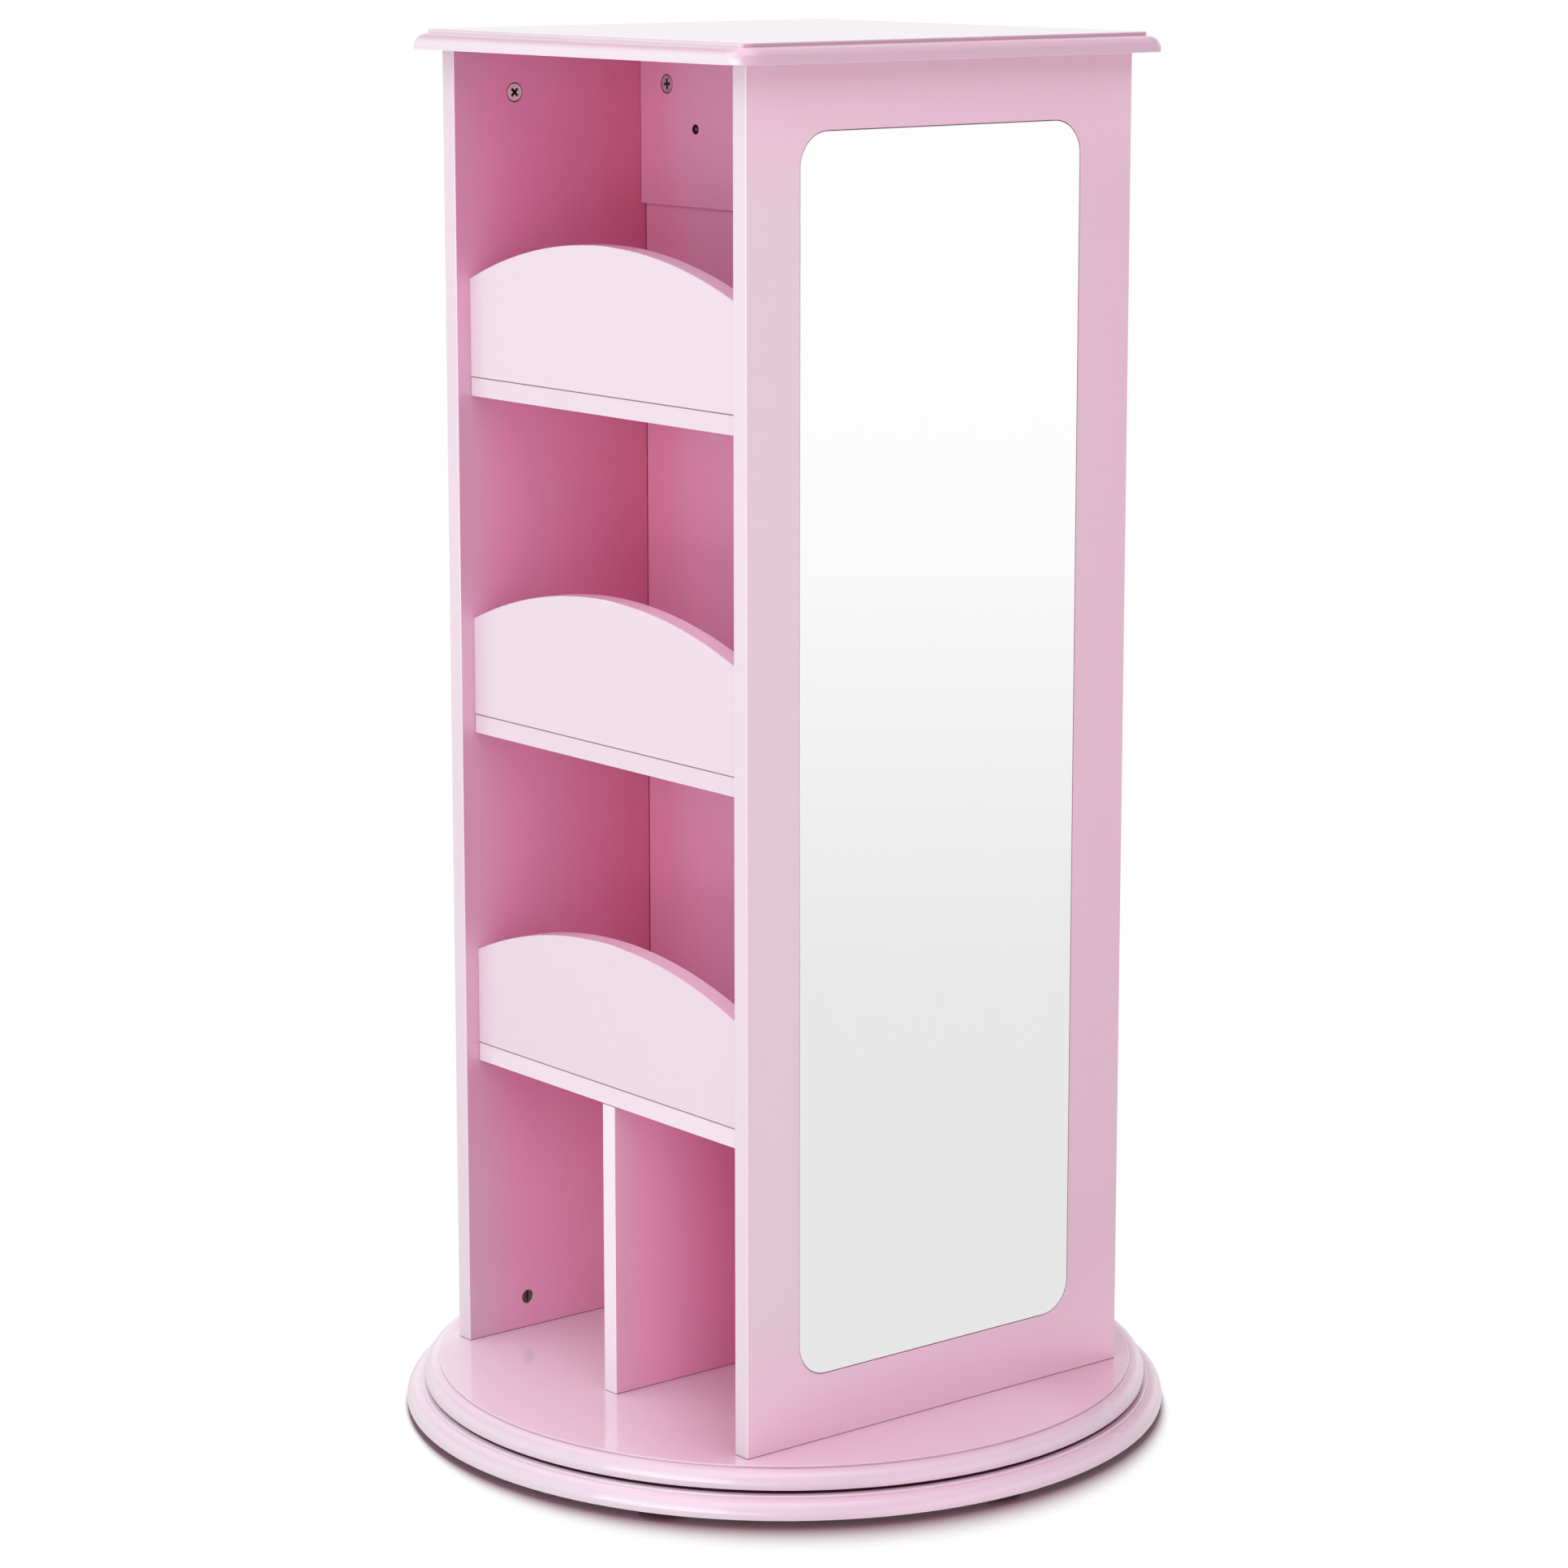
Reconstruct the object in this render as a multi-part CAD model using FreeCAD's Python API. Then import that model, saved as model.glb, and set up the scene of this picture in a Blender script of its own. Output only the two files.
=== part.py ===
# Revolving wardrobe cabinet for dressing-up clothes: a square lacquered cabinet that turns on a
# round base. Lengths are in millimetres. Z is up and the origin lies on the turning axis at floor
# level. The shelf side faces -Y, the mirror side +X, the hanging side +Y and the plain side -X.
import FreeCAD, Part

import math
import os
from dataclasses import dataclass

# Boards, with a fine arris along the edges that show and a fuller one on moulded rims and glides
BOARD = 15.0
THIN_BOARD = 5.0
ARRIS = 0.5
PANEL_ARRIS = 0.8
RIM_ROUND = 1.2

# Turning base: the lower disc stands on glides and carries the upper disc on a ring bearing
LOWER_DISC_R = 300.0
UPPER_DISC_R = 285.5
DISC_GAP = 3.0
GLIDE_HEIGHT = 6.0
GLIDE_R = 18.0
GLIDE_CIRCLE_R = 255.0
GLIDE_COUNT = 6
GLIDE_SINK = 1.5

# Stepped quarter-round moulding along the edges of the discs and of the top slab
MOULD_ROUND = 10.5
MOULD_LEDGE = 0.8
DISC_STEP = 2.0
SLAB_STEP = 3.0

# Cabinet
CABINET_WIDTH = 371.0
PANEL_WIDTH = 371.0
PANEL_HEIGHT = 1023.5
SLAB_WIDTH = 414.0
SLAB_CORNER_R = 21.0
SHELF_RECESS = 12.4
LOWER_SHELF_TOP = 244.7
SHELF_PITCH = 264.4
LIP_END_RISE = 75.5
LIP_MIDDLE_RISE = 111.0
RAIL_HEIGHT = 124.0
BACK_GROOVE = 6.0
BACK_PLAY = 0.4

# Mirror, let flush into its panel on strips of foam tape
MIRROR_WIDTH = 269.0
MIRROR_HEIGHT = 923.0
MIRROR_CORNER_R = 25.0
MIRROR_FRONT_MARGIN = 49.8
MIRROR_FOOT_MARGIN = 51.7
MIRROR_GLASS = 3.0
MIRROR_PLAY = 0.6
TAPE_THICKNESS = 0.8
TAPE_WIDTH = 19.0
TAPE_STRIPS = 4
TAPE_END_GAP = 30.0

# Coat pegs on the hanging side
PEG_SPACING = 100.0
PEG_DROP = 63.6
PEG_LENGTH = 46.0
PEG_FOOT_R = 11.0
PEG_FOOT = 3.0
PEG_FOOT_STEP = 2.0
PEG_WAIST_R = 6.0
PEG_HEAD_R = 13.0
PEG_RIM_START = 35.0
PEG_RIM_END = 38.0

# Ring bearing between the discs
BALL_CIRCLE_R = 127.0
BALL_R = 2.5
BALL_COUNT = 36
RACE_PLAY = 0.1
RING_STANDOFF = 1.3
RING_WIDTH = 22.0
RING_HEIGHT = 8.0
RING_POCKET = 3.0
RING_POCKET_PLAY = 1.0
RING_SCREWS = 6
OUTER_RING_SCREW_START = 15.0
CAGE_THICKNESS = 1.2
CAGE_HEIGHT = 7.0
ACCESS_HOLE_R = 7.0

# Cam locks and their bolts
CAM_R = 7.5
CAM_HEIGHT = 12.0
CAM_SINK = 0.3
CAM_PLAY = 0.15
CAM_CAVITY_R = 4.4
CAM_CAVITY_HALF = 3.4
CAM_SLOT_HALF = 2.6
CAM_SLOT_FROM = -40.0
CAM_SLOT_TO = 110.0
CAM_SETBACK = 34.0
RAIL_CAM_DROP = 29.9
BOLT_THREAD_R = 2.9
BOLT_THREAD_LENGTH = 9.0
BOLT_COLLAR_R = 3.6
BOLT_COLLAR_LENGTH = 2.0
BOLT_STEM_R = 2.3
BOLT_HEAD_R = 3.2
BOLT_HEAD_HALF = 1.5
BOLT_HOLE_R = 4.0

# Barrel nuts in the feet of the side panels, and their bolts
NUT_R = 5.5
NUT_LENGTH = 11.5
NUT_SINK = 0.8
NUT_SETBACK = 25.2
NUT_SLOT_WIDTH = 1.4
NUT_SLOT_DEPTH = 1.2
FOOT_BOLT_R = 3.0
FOOT_BOLT_HEAD_R = 5.0
FOOT_BOLT_HEAD = 3.0
FOOT_BOLT_SINK = 1.0
FOOT_BOLT_PLAY = 0.3
FOOT_BOLT_PAST_NUT = 2.0
SOCKET_R = 2.3
SOCKET_DEPTH = 2.0

# Wooden dowels
DOWEL_R = 4.0
DOWEL_IN_EDGE = 20.0
DOWEL_IN_FACE = 9.5
DOWEL_CHAMFER = 1.0
DOWEL_END_PLAY = 0.5
DRILL_PLAY = 0.05

# Screws
COUNTERSUNK_HEAD_R = 3.6
WOOD_SCREW_R = 1.75
DOME_HEAD_R = 4.0
DOME_HEAD_HEIGHT = 2.2
SCREW_TIP = 3.0
CROSS_LENGTH = 4.2
CROSS_WIDTH = 1.0
CROSS_DEPTH = 1.4
CAM_CROSS_LENGTH = 7.0
CAM_CROSS_WIDTH = 1.5
CAM_CROSS_DEPTH = 2.2

# Places of the fasteners along the boards
CAM_FROM_PANEL_EDGE = 57.0
DOWEL_FROM_CAM = 32.0
SHELF_CAM_FROM_ENDS = 33.0
RAIL_DOWEL_DROP = 95.0
RAIL_TOP_DOWEL_X = 60.0
LIP_DOWEL_X = 100.0
LIP_SCREW_X = 55.0
LIP_SCREW_LENGTH = 35.0
DIVIDER_DOWEL_FROM_ENDS = 38.0
DIVIDER_SCREW_FROM_ENDS = 14.0
DIVIDER_SCREW_LENGTH = 35.0
PEG_SCREW_LENGTH = 35.0
RING_SCREW_LENGTH = 16.0
GLIDE_SCREW_LENGTH = 14.0

# Levels and faces that follow from the sizes above
LOWER_DISC_Z = GLIDE_HEIGHT
UPPER_DISC_Z = LOWER_DISC_Z + BOARD + DISC_GAP
FLOOR_Z = UPPER_DISC_Z + BOARD
SLAB_Z = FLOOR_Z + PANEL_HEIGHT
INNER_X = CABINET_WIDTH / 2 - BOARD
PANEL_MIDDLE_X = (CABINET_WIDTH - BOARD) / 2
FRONT_Y = -PANEL_WIDTH / 2
SHELF_FRONT_Y = FRONT_Y + SHELF_RECESS
SHELF_BACK_Y = -THIN_BOARD / 2
RAIL_BOTTOM_Z = SLAB_Z - RAIL_HEIGHT
SHELF_TOPS = {
    "lower": FLOOR_Z + LOWER_SHELF_TOP,
    "middle": FLOOR_Z + LOWER_SHELF_TOP + SHELF_PITCH,
    "upper": FLOOR_Z + LOWER_SHELF_TOP + 2 * SHELF_PITCH,
}
RING_MIDDLE_Z = UPPER_DISC_Z - DISC_GAP / 2
RING_POCKET_INNER_R = BALL_CIRCLE_R - RING_STANDOFF - RING_WIDTH - RING_POCKET_PLAY
RING_POCKET_OUTER_R = BALL_CIRCLE_R + RING_STANDOFF + RING_WIDTH + RING_POCKET_PLAY
INNER_RING_FOOT_Z = LOWER_DISC_Z + BOARD - RING_POCKET
OUTER_RING_TOP_Z = UPPER_DISC_Z + RING_POCKET
RING_SCREW_STANDOFF = RING_STANDOFF + RING_WIDTH / 2

ORIGIN = FreeCAD.Vector(0, 0, 0)
X_AXIS = FreeCAD.Vector(1, 0, 0)
Y_AXIS = FreeCAD.Vector(0, 1, 0)
Z_AXIS = FreeCAD.Vector(0, 0, 1)
SAME = 1e-6


def point(x, y, z):
    return FreeCAD.Vector(x, y, z)


def block(x_range, y_range, z_range):
    """Box between the two ends of each range."""
    size = [high - low for low, high in (x_range, y_range, z_range)]
    return Part.makeBox(*size, point(x_range[0], y_range[0], z_range[0]))


def rod(radius, start, along, length):
    return Part.makeCylinder(radius, length, start, along)


def ring(inner_r, outer_r, z_low, z_high):
    """Flat ring about the turning axis."""
    foot = point(0, 0, z_low)
    height = z_high - z_low
    return rod(outer_r, foot, Z_AXIS, height).cut(rod(inner_r, foot, Z_AXIS, height))


def on_circle(radius, degrees, z):
    angle = math.radians(degrees)
    return point(radius * math.cos(angle), radius * math.sin(angle), z)


def placed(piece, origin, z_way, x_way):
    """Moves a piece made about its own axes to origin, with its Z and X turned as given."""
    y_way = z_way.cross(x_way)
    columns = (x_way, y_way, z_way, origin)
    rows = [[getattr(column, axis) for column in columns] for axis in "xyz"]
    piece.Placement = FreeCAD.Placement(FreeCAD.Matrix(*rows[0], *rows[1], *rows[2], 0, 0, 0, 1))
    return piece


def soften(board, radius, axis, level):
    """Rounds every edge of the board that lies in the plane where axis has the given level."""
    edges = [
        edge
        for edge in board.Edges
        if all(abs(getattr(vertex, axis.upper()) - level) < SAME for vertex in edge.Vertexes)
    ]
    return board.makeFillet(radius, edges)


def cross_slot(length, width, depth):
    """Cross-shaped recess going down along +Z from the XY plane."""
    arms = [
        block((-length / 2, length / 2), (-width / 2, width / 2), (0, depth)),
        block((-width / 2, width / 2), (-length / 2, length / 2), (0, depth)),
    ]
    return arms[0].fuse(arms[1])


@dataclass(frozen=True)
class CamJoint:
    """Cam lock in one board's edge, drawn up on a bolt in another board's face.

    seam lies between the two boards in the middle of the edge, into points into the faced board
    and look is the way that the slotted face of the cam looks.
    """

    seam: FreeCAD.Vector
    into: FreeCAD.Vector
    look: FreeCAD.Vector

    def at_seam(self, piece):
        return placed(piece, self.seam, self.into, self.look)

    def lock(self):
        """Barrel with a cavity for the bolt's head, a slot for its stem and a way in."""
        face = BOARD / 2 - CAM_SINK
        barrel = rod(CAM_R, point(face - CAM_HEIGHT, 0, 0), X_AXIS, CAM_HEIGHT)
        half = CAM_CAVITY_HALF
        cavity = rod(CAM_CAVITY_R, point(-half, 0, 0), X_AXIS, 2 * half)
        corners = [
            point(-CAM_SLOT_HALF, 0, CAM_CAVITY_R - 1),
            point(CAM_SLOT_HALF, 0, CAM_CAVITY_R - 1),
            point(CAM_SLOT_HALF, 0, CAM_R + 1),
            point(-CAM_SLOT_HALF, 0, CAM_R + 1),
        ]
        slot = Part.Face(Part.makePolygon(corners + corners[:1]))
        slot.rotate(ORIGIN, X_AXIS, CAM_SLOT_FROM)
        slot = slot.revolve(ORIGIN, X_AXIS, CAM_SLOT_TO - CAM_SLOT_FROM)
        end = math.radians(CAM_SLOT_TO)
        way_in = rod(half, ORIGIN, point(0, -math.sin(end), math.cos(end)), CAM_R + 1)
        cross = cross_slot(CAM_CROSS_LENGTH, CAM_CROSS_WIDTH, CAM_CROSS_DEPTH)
        placed(cross, point(face, 0, 0), -X_AXIS, (Y_AXIS + Z_AXIS) / math.sqrt(2))
        barrel = barrel.cut([cavity, slot, way_in, cross])
        barrel.translate(point(0, 0, -CAM_SETBACK))
        return self.at_seam(Part.Compound([barrel]))

    def bolt(self):
        """Bolt screwed into the faced board, with a stem and a head that the cam grips."""
        stem_length = CAM_SETBACK - BOLT_COLLAR_LENGTH
        head_foot = point(0, 0, -CAM_SETBACK - BOLT_HEAD_HALF)
        parts = [
            rod(BOLT_THREAD_R, ORIGIN, Z_AXIS, BOLT_THREAD_LENGTH),
            rod(BOLT_COLLAR_R, ORIGIN, -Z_AXIS, BOLT_COLLAR_LENGTH),
            rod(BOLT_STEM_R, point(0, 0, -CAM_SETBACK), Z_AXIS, stem_length),
            rod(BOLT_HEAD_R, head_foot, Z_AXIS, 2 * BOLT_HEAD_HALF),
        ]
        whole = parts[0].fuse(parts[1:]).removeSplitter()
        return self.at_seam(Part.Compound([whole]))

    def void(self):
        """What is drilled out of the two boards."""
        pocket_depth = CAM_HEIGHT + CAM_SINK + CAM_PLAY
        pocket_foot = point(BOARD / 2 - pocket_depth, 0, -CAM_SETBACK)
        parts = [
            rod(CAM_R + CAM_PLAY, pocket_foot, X_AXIS, pocket_depth + 1),
            rod(BOLT_HOLE_R, ORIGIN, -Z_AXIS, CAM_SETBACK),
            rod(BOLT_THREAD_R + DRILL_PLAY, ORIGIN, Z_AXIS, BOLT_THREAD_LENGTH + DRILL_PLAY),
        ]
        return self.at_seam(parts[0].fuse(parts[1:]))


@dataclass(frozen=True)
class NutJoint:
    """Barrel nut near one board's edge, drawn up by a bolt that comes through another board.

    seam, into and look are as in a CamJoint, and look is the way that the nut's slotted end looks.
    """

    seam: FreeCAD.Vector
    into: FreeCAD.Vector
    look: FreeCAD.Vector

    def at_seam(self, piece):
        return placed(piece, self.seam, self.into, self.look)

    def nut(self):
        """Barrel with a bore across it for the bolt and a slot in its end."""
        face = BOARD / 2 - NUT_SINK
        z_range = (-NUT_SETBACK - NUT_R - 1, -NUT_SETBACK + NUT_R + 1)
        barrel = rod(NUT_R, point(face - NUT_LENGTH, 0, -NUT_SETBACK), X_AXIS, NUT_LENGTH)
        bore = rod(FOOT_BOLT_R + DRILL_PLAY, point(0, 0, z_range[0]), Z_AXIS, 2 * NUT_R + 2)
        half = NUT_SLOT_WIDTH / 2
        slot = block((face - NUT_SLOT_DEPTH, face + 1), (-half, half), z_range)
        return self.at_seam(Part.Compound([barrel.cut([bore, slot])]))

    def seat_and_shank(self, play):
        """Level of the face that the bolt's head bears on, and its shank with some play."""
        seat = BOARD - FOOT_BOLT_SINK - FOOT_BOLT_HEAD
        reach = seat + NUT_SETBACK + NUT_R + FOOT_BOLT_PAST_NUT
        return seat, rod(FOOT_BOLT_R + play, point(0, 0, seat), -Z_AXIS, reach + play)

    def bolt(self):
        """Flat-headed bolt with a hexagon socket, its head sunk in the faced board."""
        seat, shank = self.seat_and_shank(0)
        head = rod(FOOT_BOLT_HEAD_R, point(0, 0, seat), Z_AXIS, FOOT_BOLT_HEAD)
        foot_z = seat + FOOT_BOLT_HEAD - SOCKET_DEPTH
        corners = [on_circle(SOCKET_R, 60 * corner, foot_z) for corner in range(6)]
        hexagon = Part.Face(Part.makePolygon(corners + corners[:1]))
        socket = hexagon.extrude(Z_AXIS * (SOCKET_DEPTH + 1))
        return self.at_seam(Part.Compound([head.fuse(shank).cut(socket).removeSplitter()]))

    def void(self):
        """What is drilled out of the two boards."""
        seat, shank_hole = self.seat_and_shank(FOOT_BOLT_PLAY)
        pocket_depth = NUT_LENGTH + NUT_SINK + CAM_PLAY
        pocket_foot = point(BOARD / 2 - pocket_depth, 0, -NUT_SETBACK)
        head_hole_r = FOOT_BOLT_HEAD_R + FOOT_BOLT_PLAY
        parts = [
            rod(NUT_R + CAM_PLAY, pocket_foot, X_AXIS, pocket_depth + 1),
            rod(head_hole_r, point(0, 0, seat), Z_AXIS, BOARD - seat + 1),
        ]
        return self.at_seam(shank_hole.fuse(parts))


@dataclass(frozen=True)
class Dowel:
    """Wooden dowel across the seam between one board's edge and another board's face."""

    seam: FreeCAD.Vector
    into: FreeCAD.Vector

    def pin(self):
        length = DOWEL_IN_EDGE + DOWEL_IN_FACE - 2 * DOWEL_END_PLAY
        start = self.seam - self.into * (DOWEL_IN_EDGE - DOWEL_END_PLAY)
        pin = rod(DOWEL_R, start, self.into, length)
        rims = [edge for edge in pin.Edges if len(edge.Vertexes) == 1]
        return pin.makeChamfer(DOWEL_CHAMFER, rims)

    def void(self):
        start = self.seam - self.into * DOWEL_IN_EDGE
        return rod(DOWEL_R + DRILL_PLAY, start, self.into, DOWEL_IN_EDGE + DOWEL_IN_FACE)


@dataclass(frozen=True)
class Screw:
    """Countersunk cross-slot screw: head is the middle of its flat face, into its direction."""

    head: FreeCAD.Vector
    into: FreeCAD.Vector
    length: float

    def cone_depth(self):
        return COUNTERSUNK_HEAD_R - WOOD_SCREW_R

    def at_head(self, piece):
        x_way = Y_AXIS if abs(self.into.z) > SAME else Z_AXIS
        return placed(piece, self.head, self.into, x_way)

    def body(self):
        shank_length = self.length - SCREW_TIP
        parts = [
            Part.makeCone(COUNTERSUNK_HEAD_R, WOOD_SCREW_R, self.cone_depth()),
            rod(WOOD_SCREW_R, ORIGIN, Z_AXIS, shank_length),
            Part.makeCone(WOOD_SCREW_R, WOOD_SCREW_R / 6, SCREW_TIP, point(0, 0, shank_length)),
        ]
        whole = parts[0].fuse(parts[1:]).cut(cross_slot(CROSS_LENGTH, CROSS_WIDTH, CROSS_DEPTH))
        return self.at_head(Part.Compound([whole.removeSplitter()]))

    def void(self):
        """Countersink and pilot hole, open a little past the head for a clean cut."""
        play = DRILL_PLAY
        cone = Part.makeCone(COUNTERSUNK_HEAD_R + play, WOOD_SCREW_R + play, self.cone_depth())
        pilot = rod(WOOD_SCREW_R + play, point(0, 0, -1), Z_AXIS, self.length + 1.5)
        mouth = rod(COUNTERSUNK_HEAD_R + play, point(0, 0, -1), Z_AXIS, 1)
        return self.at_head(cone.fuse([pilot, mouth]))


@dataclass(frozen=True)
class DomeScrew(Screw):
    """Cross-slot screw whose domed head stands on the face that head lies in."""

    def body(self):
        rise = DOME_HEAD_HEIGHT
        dome_r = (DOME_HEAD_R**2 + rise**2) / (2 * rise)
        ball = Part.makeSphere(dome_r, point(0, 0, dome_r - rise))
        cap = ball.common(rod(DOME_HEAD_R + 1, point(0, 0, -rise), Z_AXIS, rise))
        shank_length = self.length - SCREW_TIP
        parts = [
            rod(WOOD_SCREW_R, ORIGIN, Z_AXIS, shank_length),
            Part.makeCone(WOOD_SCREW_R, WOOD_SCREW_R / 6, SCREW_TIP, point(0, 0, shank_length)),
        ]
        cross = cross_slot(CROSS_LENGTH, CROSS_WIDTH, CROSS_DEPTH)
        cross.translate(point(0, 0, -rise))
        whole = cap.fuse(parts).cut(cross)
        return self.at_head(Part.Compound([whole.removeSplitter()]))

    def void(self):
        pilot = rod(WOOD_SCREW_R + DRILL_PLAY, ORIGIN, Z_AXIS, self.length + 0.5)
        return self.at_head(pilot)


def panel_joints(kind, seam_z, into):
    """Cams or barrel nuts that show on the inner faces of both side panels, two to a panel."""
    y = PANEL_WIDTH / 2 - CAM_FROM_PANEL_EDGE
    return [
        kind(point(side * PANEL_MIDDLE_X, end * y, seam_z), into, X_AXIS * -side)
        for side in (-1, 1)
        for end in (-1, 1)
    ]


def panel_dowels(seam_z, into):
    """Dowels beside the cams in the end of each side panel."""
    y = PANEL_WIDTH / 2 - CAM_FROM_PANEL_EDGE - DOWEL_FROM_CAM
    return [
        Dowel(point(side * PANEL_MIDDLE_X, end * y, seam_z), into)
        for side in (-1, 1)
        for end in (-1, 1)
    ]


def shelf_cams():
    """Cams in the underside of each shelf, near its front and back corners."""
    places = (SHELF_FRONT_Y + SHELF_CAM_FROM_ENDS, SHELF_BACK_Y - SHELF_CAM_FROM_ENDS)
    return [
        CamJoint(point(side * INNER_X, y, top - BOARD / 2), X_AXIS * side, -Z_AXIS)
        for top in SHELF_TOPS.values()
        for side in (-1, 1)
        for y in places
    ]


def shelf_dowels():
    inset = SHELF_CAM_FROM_ENDS + DOWEL_FROM_CAM
    places = (SHELF_FRONT_Y + inset, SHELF_BACK_Y - inset)
    return [
        Dowel(point(side * INNER_X, y, top - BOARD / 2), X_AXIS * side)
        for top in SHELF_TOPS.values()
        for side in (-1, 1)
        for y in places
    ]


def rail_cams():
    z = SLAB_Z - RAIL_CAM_DROP
    return [CamJoint(point(side * INNER_X, 0, z), X_AXIS * side, -Y_AXIS) for side in (-1, 1)]


def rail_dowels():
    """One dowel in each end of the cross rail and two up into the top slab."""
    z = SLAB_Z - RAIL_DOWEL_DROP
    ends = [Dowel(point(side * INNER_X, 0, z), X_AXIS * side) for side in (-1, 1)]
    tops = [Dowel(point(side * RAIL_TOP_DOWEL_X, 0, SLAB_Z), Z_AXIS) for side in (-1, 1)]
    return ends + tops


def lip_dowels():
    y = SHELF_FRONT_Y + BOARD / 2
    return [
        Dowel(point(side * LIP_DOWEL_X, y, top), -Z_AXIS)
        for top in SHELF_TOPS.values()
        for side in (-1, 1)
    ]


def lip_screws():
    """Screws that go up through each shelf into the foot of its lip."""
    y = SHELF_FRONT_Y + BOARD / 2
    return [
        Screw(point(side * LIP_SCREW_X, y, top - BOARD), Z_AXIS, LIP_SCREW_LENGTH)
        for top in SHELF_TOPS.values()
        for side in (-1, 1)
    ]


def divider_dowels():
    inset = DIVIDER_DOWEL_FROM_ENDS
    places = (SHELF_FRONT_Y + inset, SHELF_BACK_Y - inset)
    seams = ((FLOOR_Z, -Z_AXIS), (SHELF_TOPS["lower"] - BOARD, Z_AXIS))
    return [Dowel(point(0, y, z), into) for z, into in seams for y in places]


def divider_screws():
    """Screws that go up through the upper disc into the foot of the divider."""
    inset = DIVIDER_SCREW_FROM_ENDS
    places = (SHELF_FRONT_Y + inset, SHELF_BACK_Y - inset)
    return [Screw(point(0, y, UPPER_DISC_Z), Z_AXIS, DIVIDER_SCREW_LENGTH) for y in places]


def peg_places():
    """Middle of each peg's foot on the back of the cross rail, from -X to +X."""
    z = SLAB_Z - PEG_DROP
    return [point(step * PEG_SPACING, BOARD / 2, z) for step in (-1, 0, 1)]


def peg_screws():
    front = point(0, -BOARD, 0)
    return [DomeScrew(place + front, Y_AXIS, PEG_SCREW_LENGTH) for place in peg_places()]


def inner_ring_screws():
    """Screws that hold the inner ring down on the lower disc."""
    radius = BALL_CIRCLE_R - RING_SCREW_STANDOFF
    z = INNER_RING_FOOT_Z + RING_HEIGHT
    return [
        Screw(on_circle(radius, 360 * turn / RING_SCREWS, z), -Z_AXIS, RING_SCREW_LENGTH)
        for turn in range(RING_SCREWS)
    ]


def outer_ring_screw_places():
    """Heads of the outer ring's screws, set round from the divider's fasteners."""
    radius = BALL_CIRCLE_R + RING_SCREW_STANDOFF
    z = OUTER_RING_TOP_Z - RING_HEIGHT
    return [
        on_circle(radius, OUTER_RING_SCREW_START + 360 * turn / RING_SCREWS, z)
        for turn in range(RING_SCREWS)
    ]


def outer_ring_screws():
    """Screws that hold the outer ring up against the upper disc."""
    return [Screw(place, Z_AXIS, RING_SCREW_LENGTH) for place in outer_ring_screw_places()]


def glide_places():
    return [
        on_circle(GLIDE_CIRCLE_R, 360 * turn / GLIDE_COUNT, 0) for turn in range(GLIDE_COUNT)
    ]


def glide_screws():
    sink = point(0, 0, GLIDE_SINK)
    return [Screw(place + sink, Z_AXIS, GLIDE_SCREW_LENGTH) for place in glide_places()]


TOP_CAMS = panel_joints(CamJoint, SLAB_Z, Z_AXIS)
FOOT_NUTS = panel_joints(NutJoint, FLOOR_Z, -Z_AXIS)
SHELF_CAMS = shelf_cams()
RAIL_CAMS = rail_cams()
TOP_DOWELS = panel_dowels(SLAB_Z, Z_AXIS)
FOOT_DOWELS = panel_dowels(FLOOR_Z, -Z_AXIS)
SHELF_DOWELS = shelf_dowels()
RAIL_DOWELS = rail_dowels()
LIP_DOWELS = lip_dowels()
DIVIDER_DOWELS = divider_dowels()
LIP_SCREWS = lip_screws()
DIVIDER_SCREWS = divider_screws()
PEG_SCREWS = peg_screws()
INNER_RING_SCREWS = inner_ring_screws()
OUTER_RING_SCREWS = outer_ring_screws()
GLIDE_SCREWS = glide_screws()

ALL_BOLTED = TOP_CAMS + FOOT_NUTS + SHELF_CAMS + RAIL_CAMS
ALL_DOWELS = TOP_DOWELS + FOOT_DOWELS + SHELF_DOWELS + RAIL_DOWELS + LIP_DOWELS + DIVIDER_DOWELS
ALL_SCREWS = (
    LIP_SCREWS + DIVIDER_SCREWS + PEG_SCREWS + INNER_RING_SCREWS + OUTER_RING_SCREWS + GLIDE_SCREWS
)
ALL_VOIDS = [fastener.void() for fastener in ALL_BOLTED + ALL_DOWELS + ALL_SCREWS]


def drilled(board):
    """The board with a seat for every fastener that reaches it."""
    voids = [void for void in ALL_VOIDS if void.BoundBox.intersect(board.BoundBox)]
    return board.cut(voids)


def moulded(blank, foot_z, step):
    """Board with the stepped quarter-round edge.

    blank(inset, z_low, z_high) gives the board's plan, drawn in by inset, as a prism.
    """
    shoulder_z = foot_z + BOARD - step
    top_z = foot_z + BOARD
    base = blank(0, foot_z, shoulder_z)
    base = soften(base, MOULD_ROUND, "z", shoulder_z)
    base = soften(base, ARRIS, "z", foot_z)
    crown = blank(MOULD_ROUND + MOULD_LEDGE, shoulder_z - 1, top_z)
    crown = soften(crown, RIM_ROUND, "z", top_z)
    return base.fuse(crown).removeSplitter()


def moulded_disc(radius, foot_z):
    def blank(inset, z_low, z_high):
        return rod(radius - inset, point(0, 0, z_low), Z_AXIS, z_high - z_low)

    return moulded(blank, foot_z, DISC_STEP)


def lower_disc():
    """Base disc, with the pocket for the inner ring and the way through to the ring screws."""
    disc = moulded_disc(LOWER_DISC_R, LOWER_DISC_Z)
    pocket = ring(
        RING_POCKET_INNER_R, RING_POCKET_OUTER_R, INNER_RING_FOOT_Z, LOWER_DISC_Z + BOARD + 1
    )
    access_place = outer_ring_screw_places()[0]
    access_place.z = LOWER_DISC_Z - 1
    access = rod(ACCESS_HOLE_R, access_place, Z_AXIS, BOARD + 2)
    return drilled(disc.cut([pocket, access]))


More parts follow.
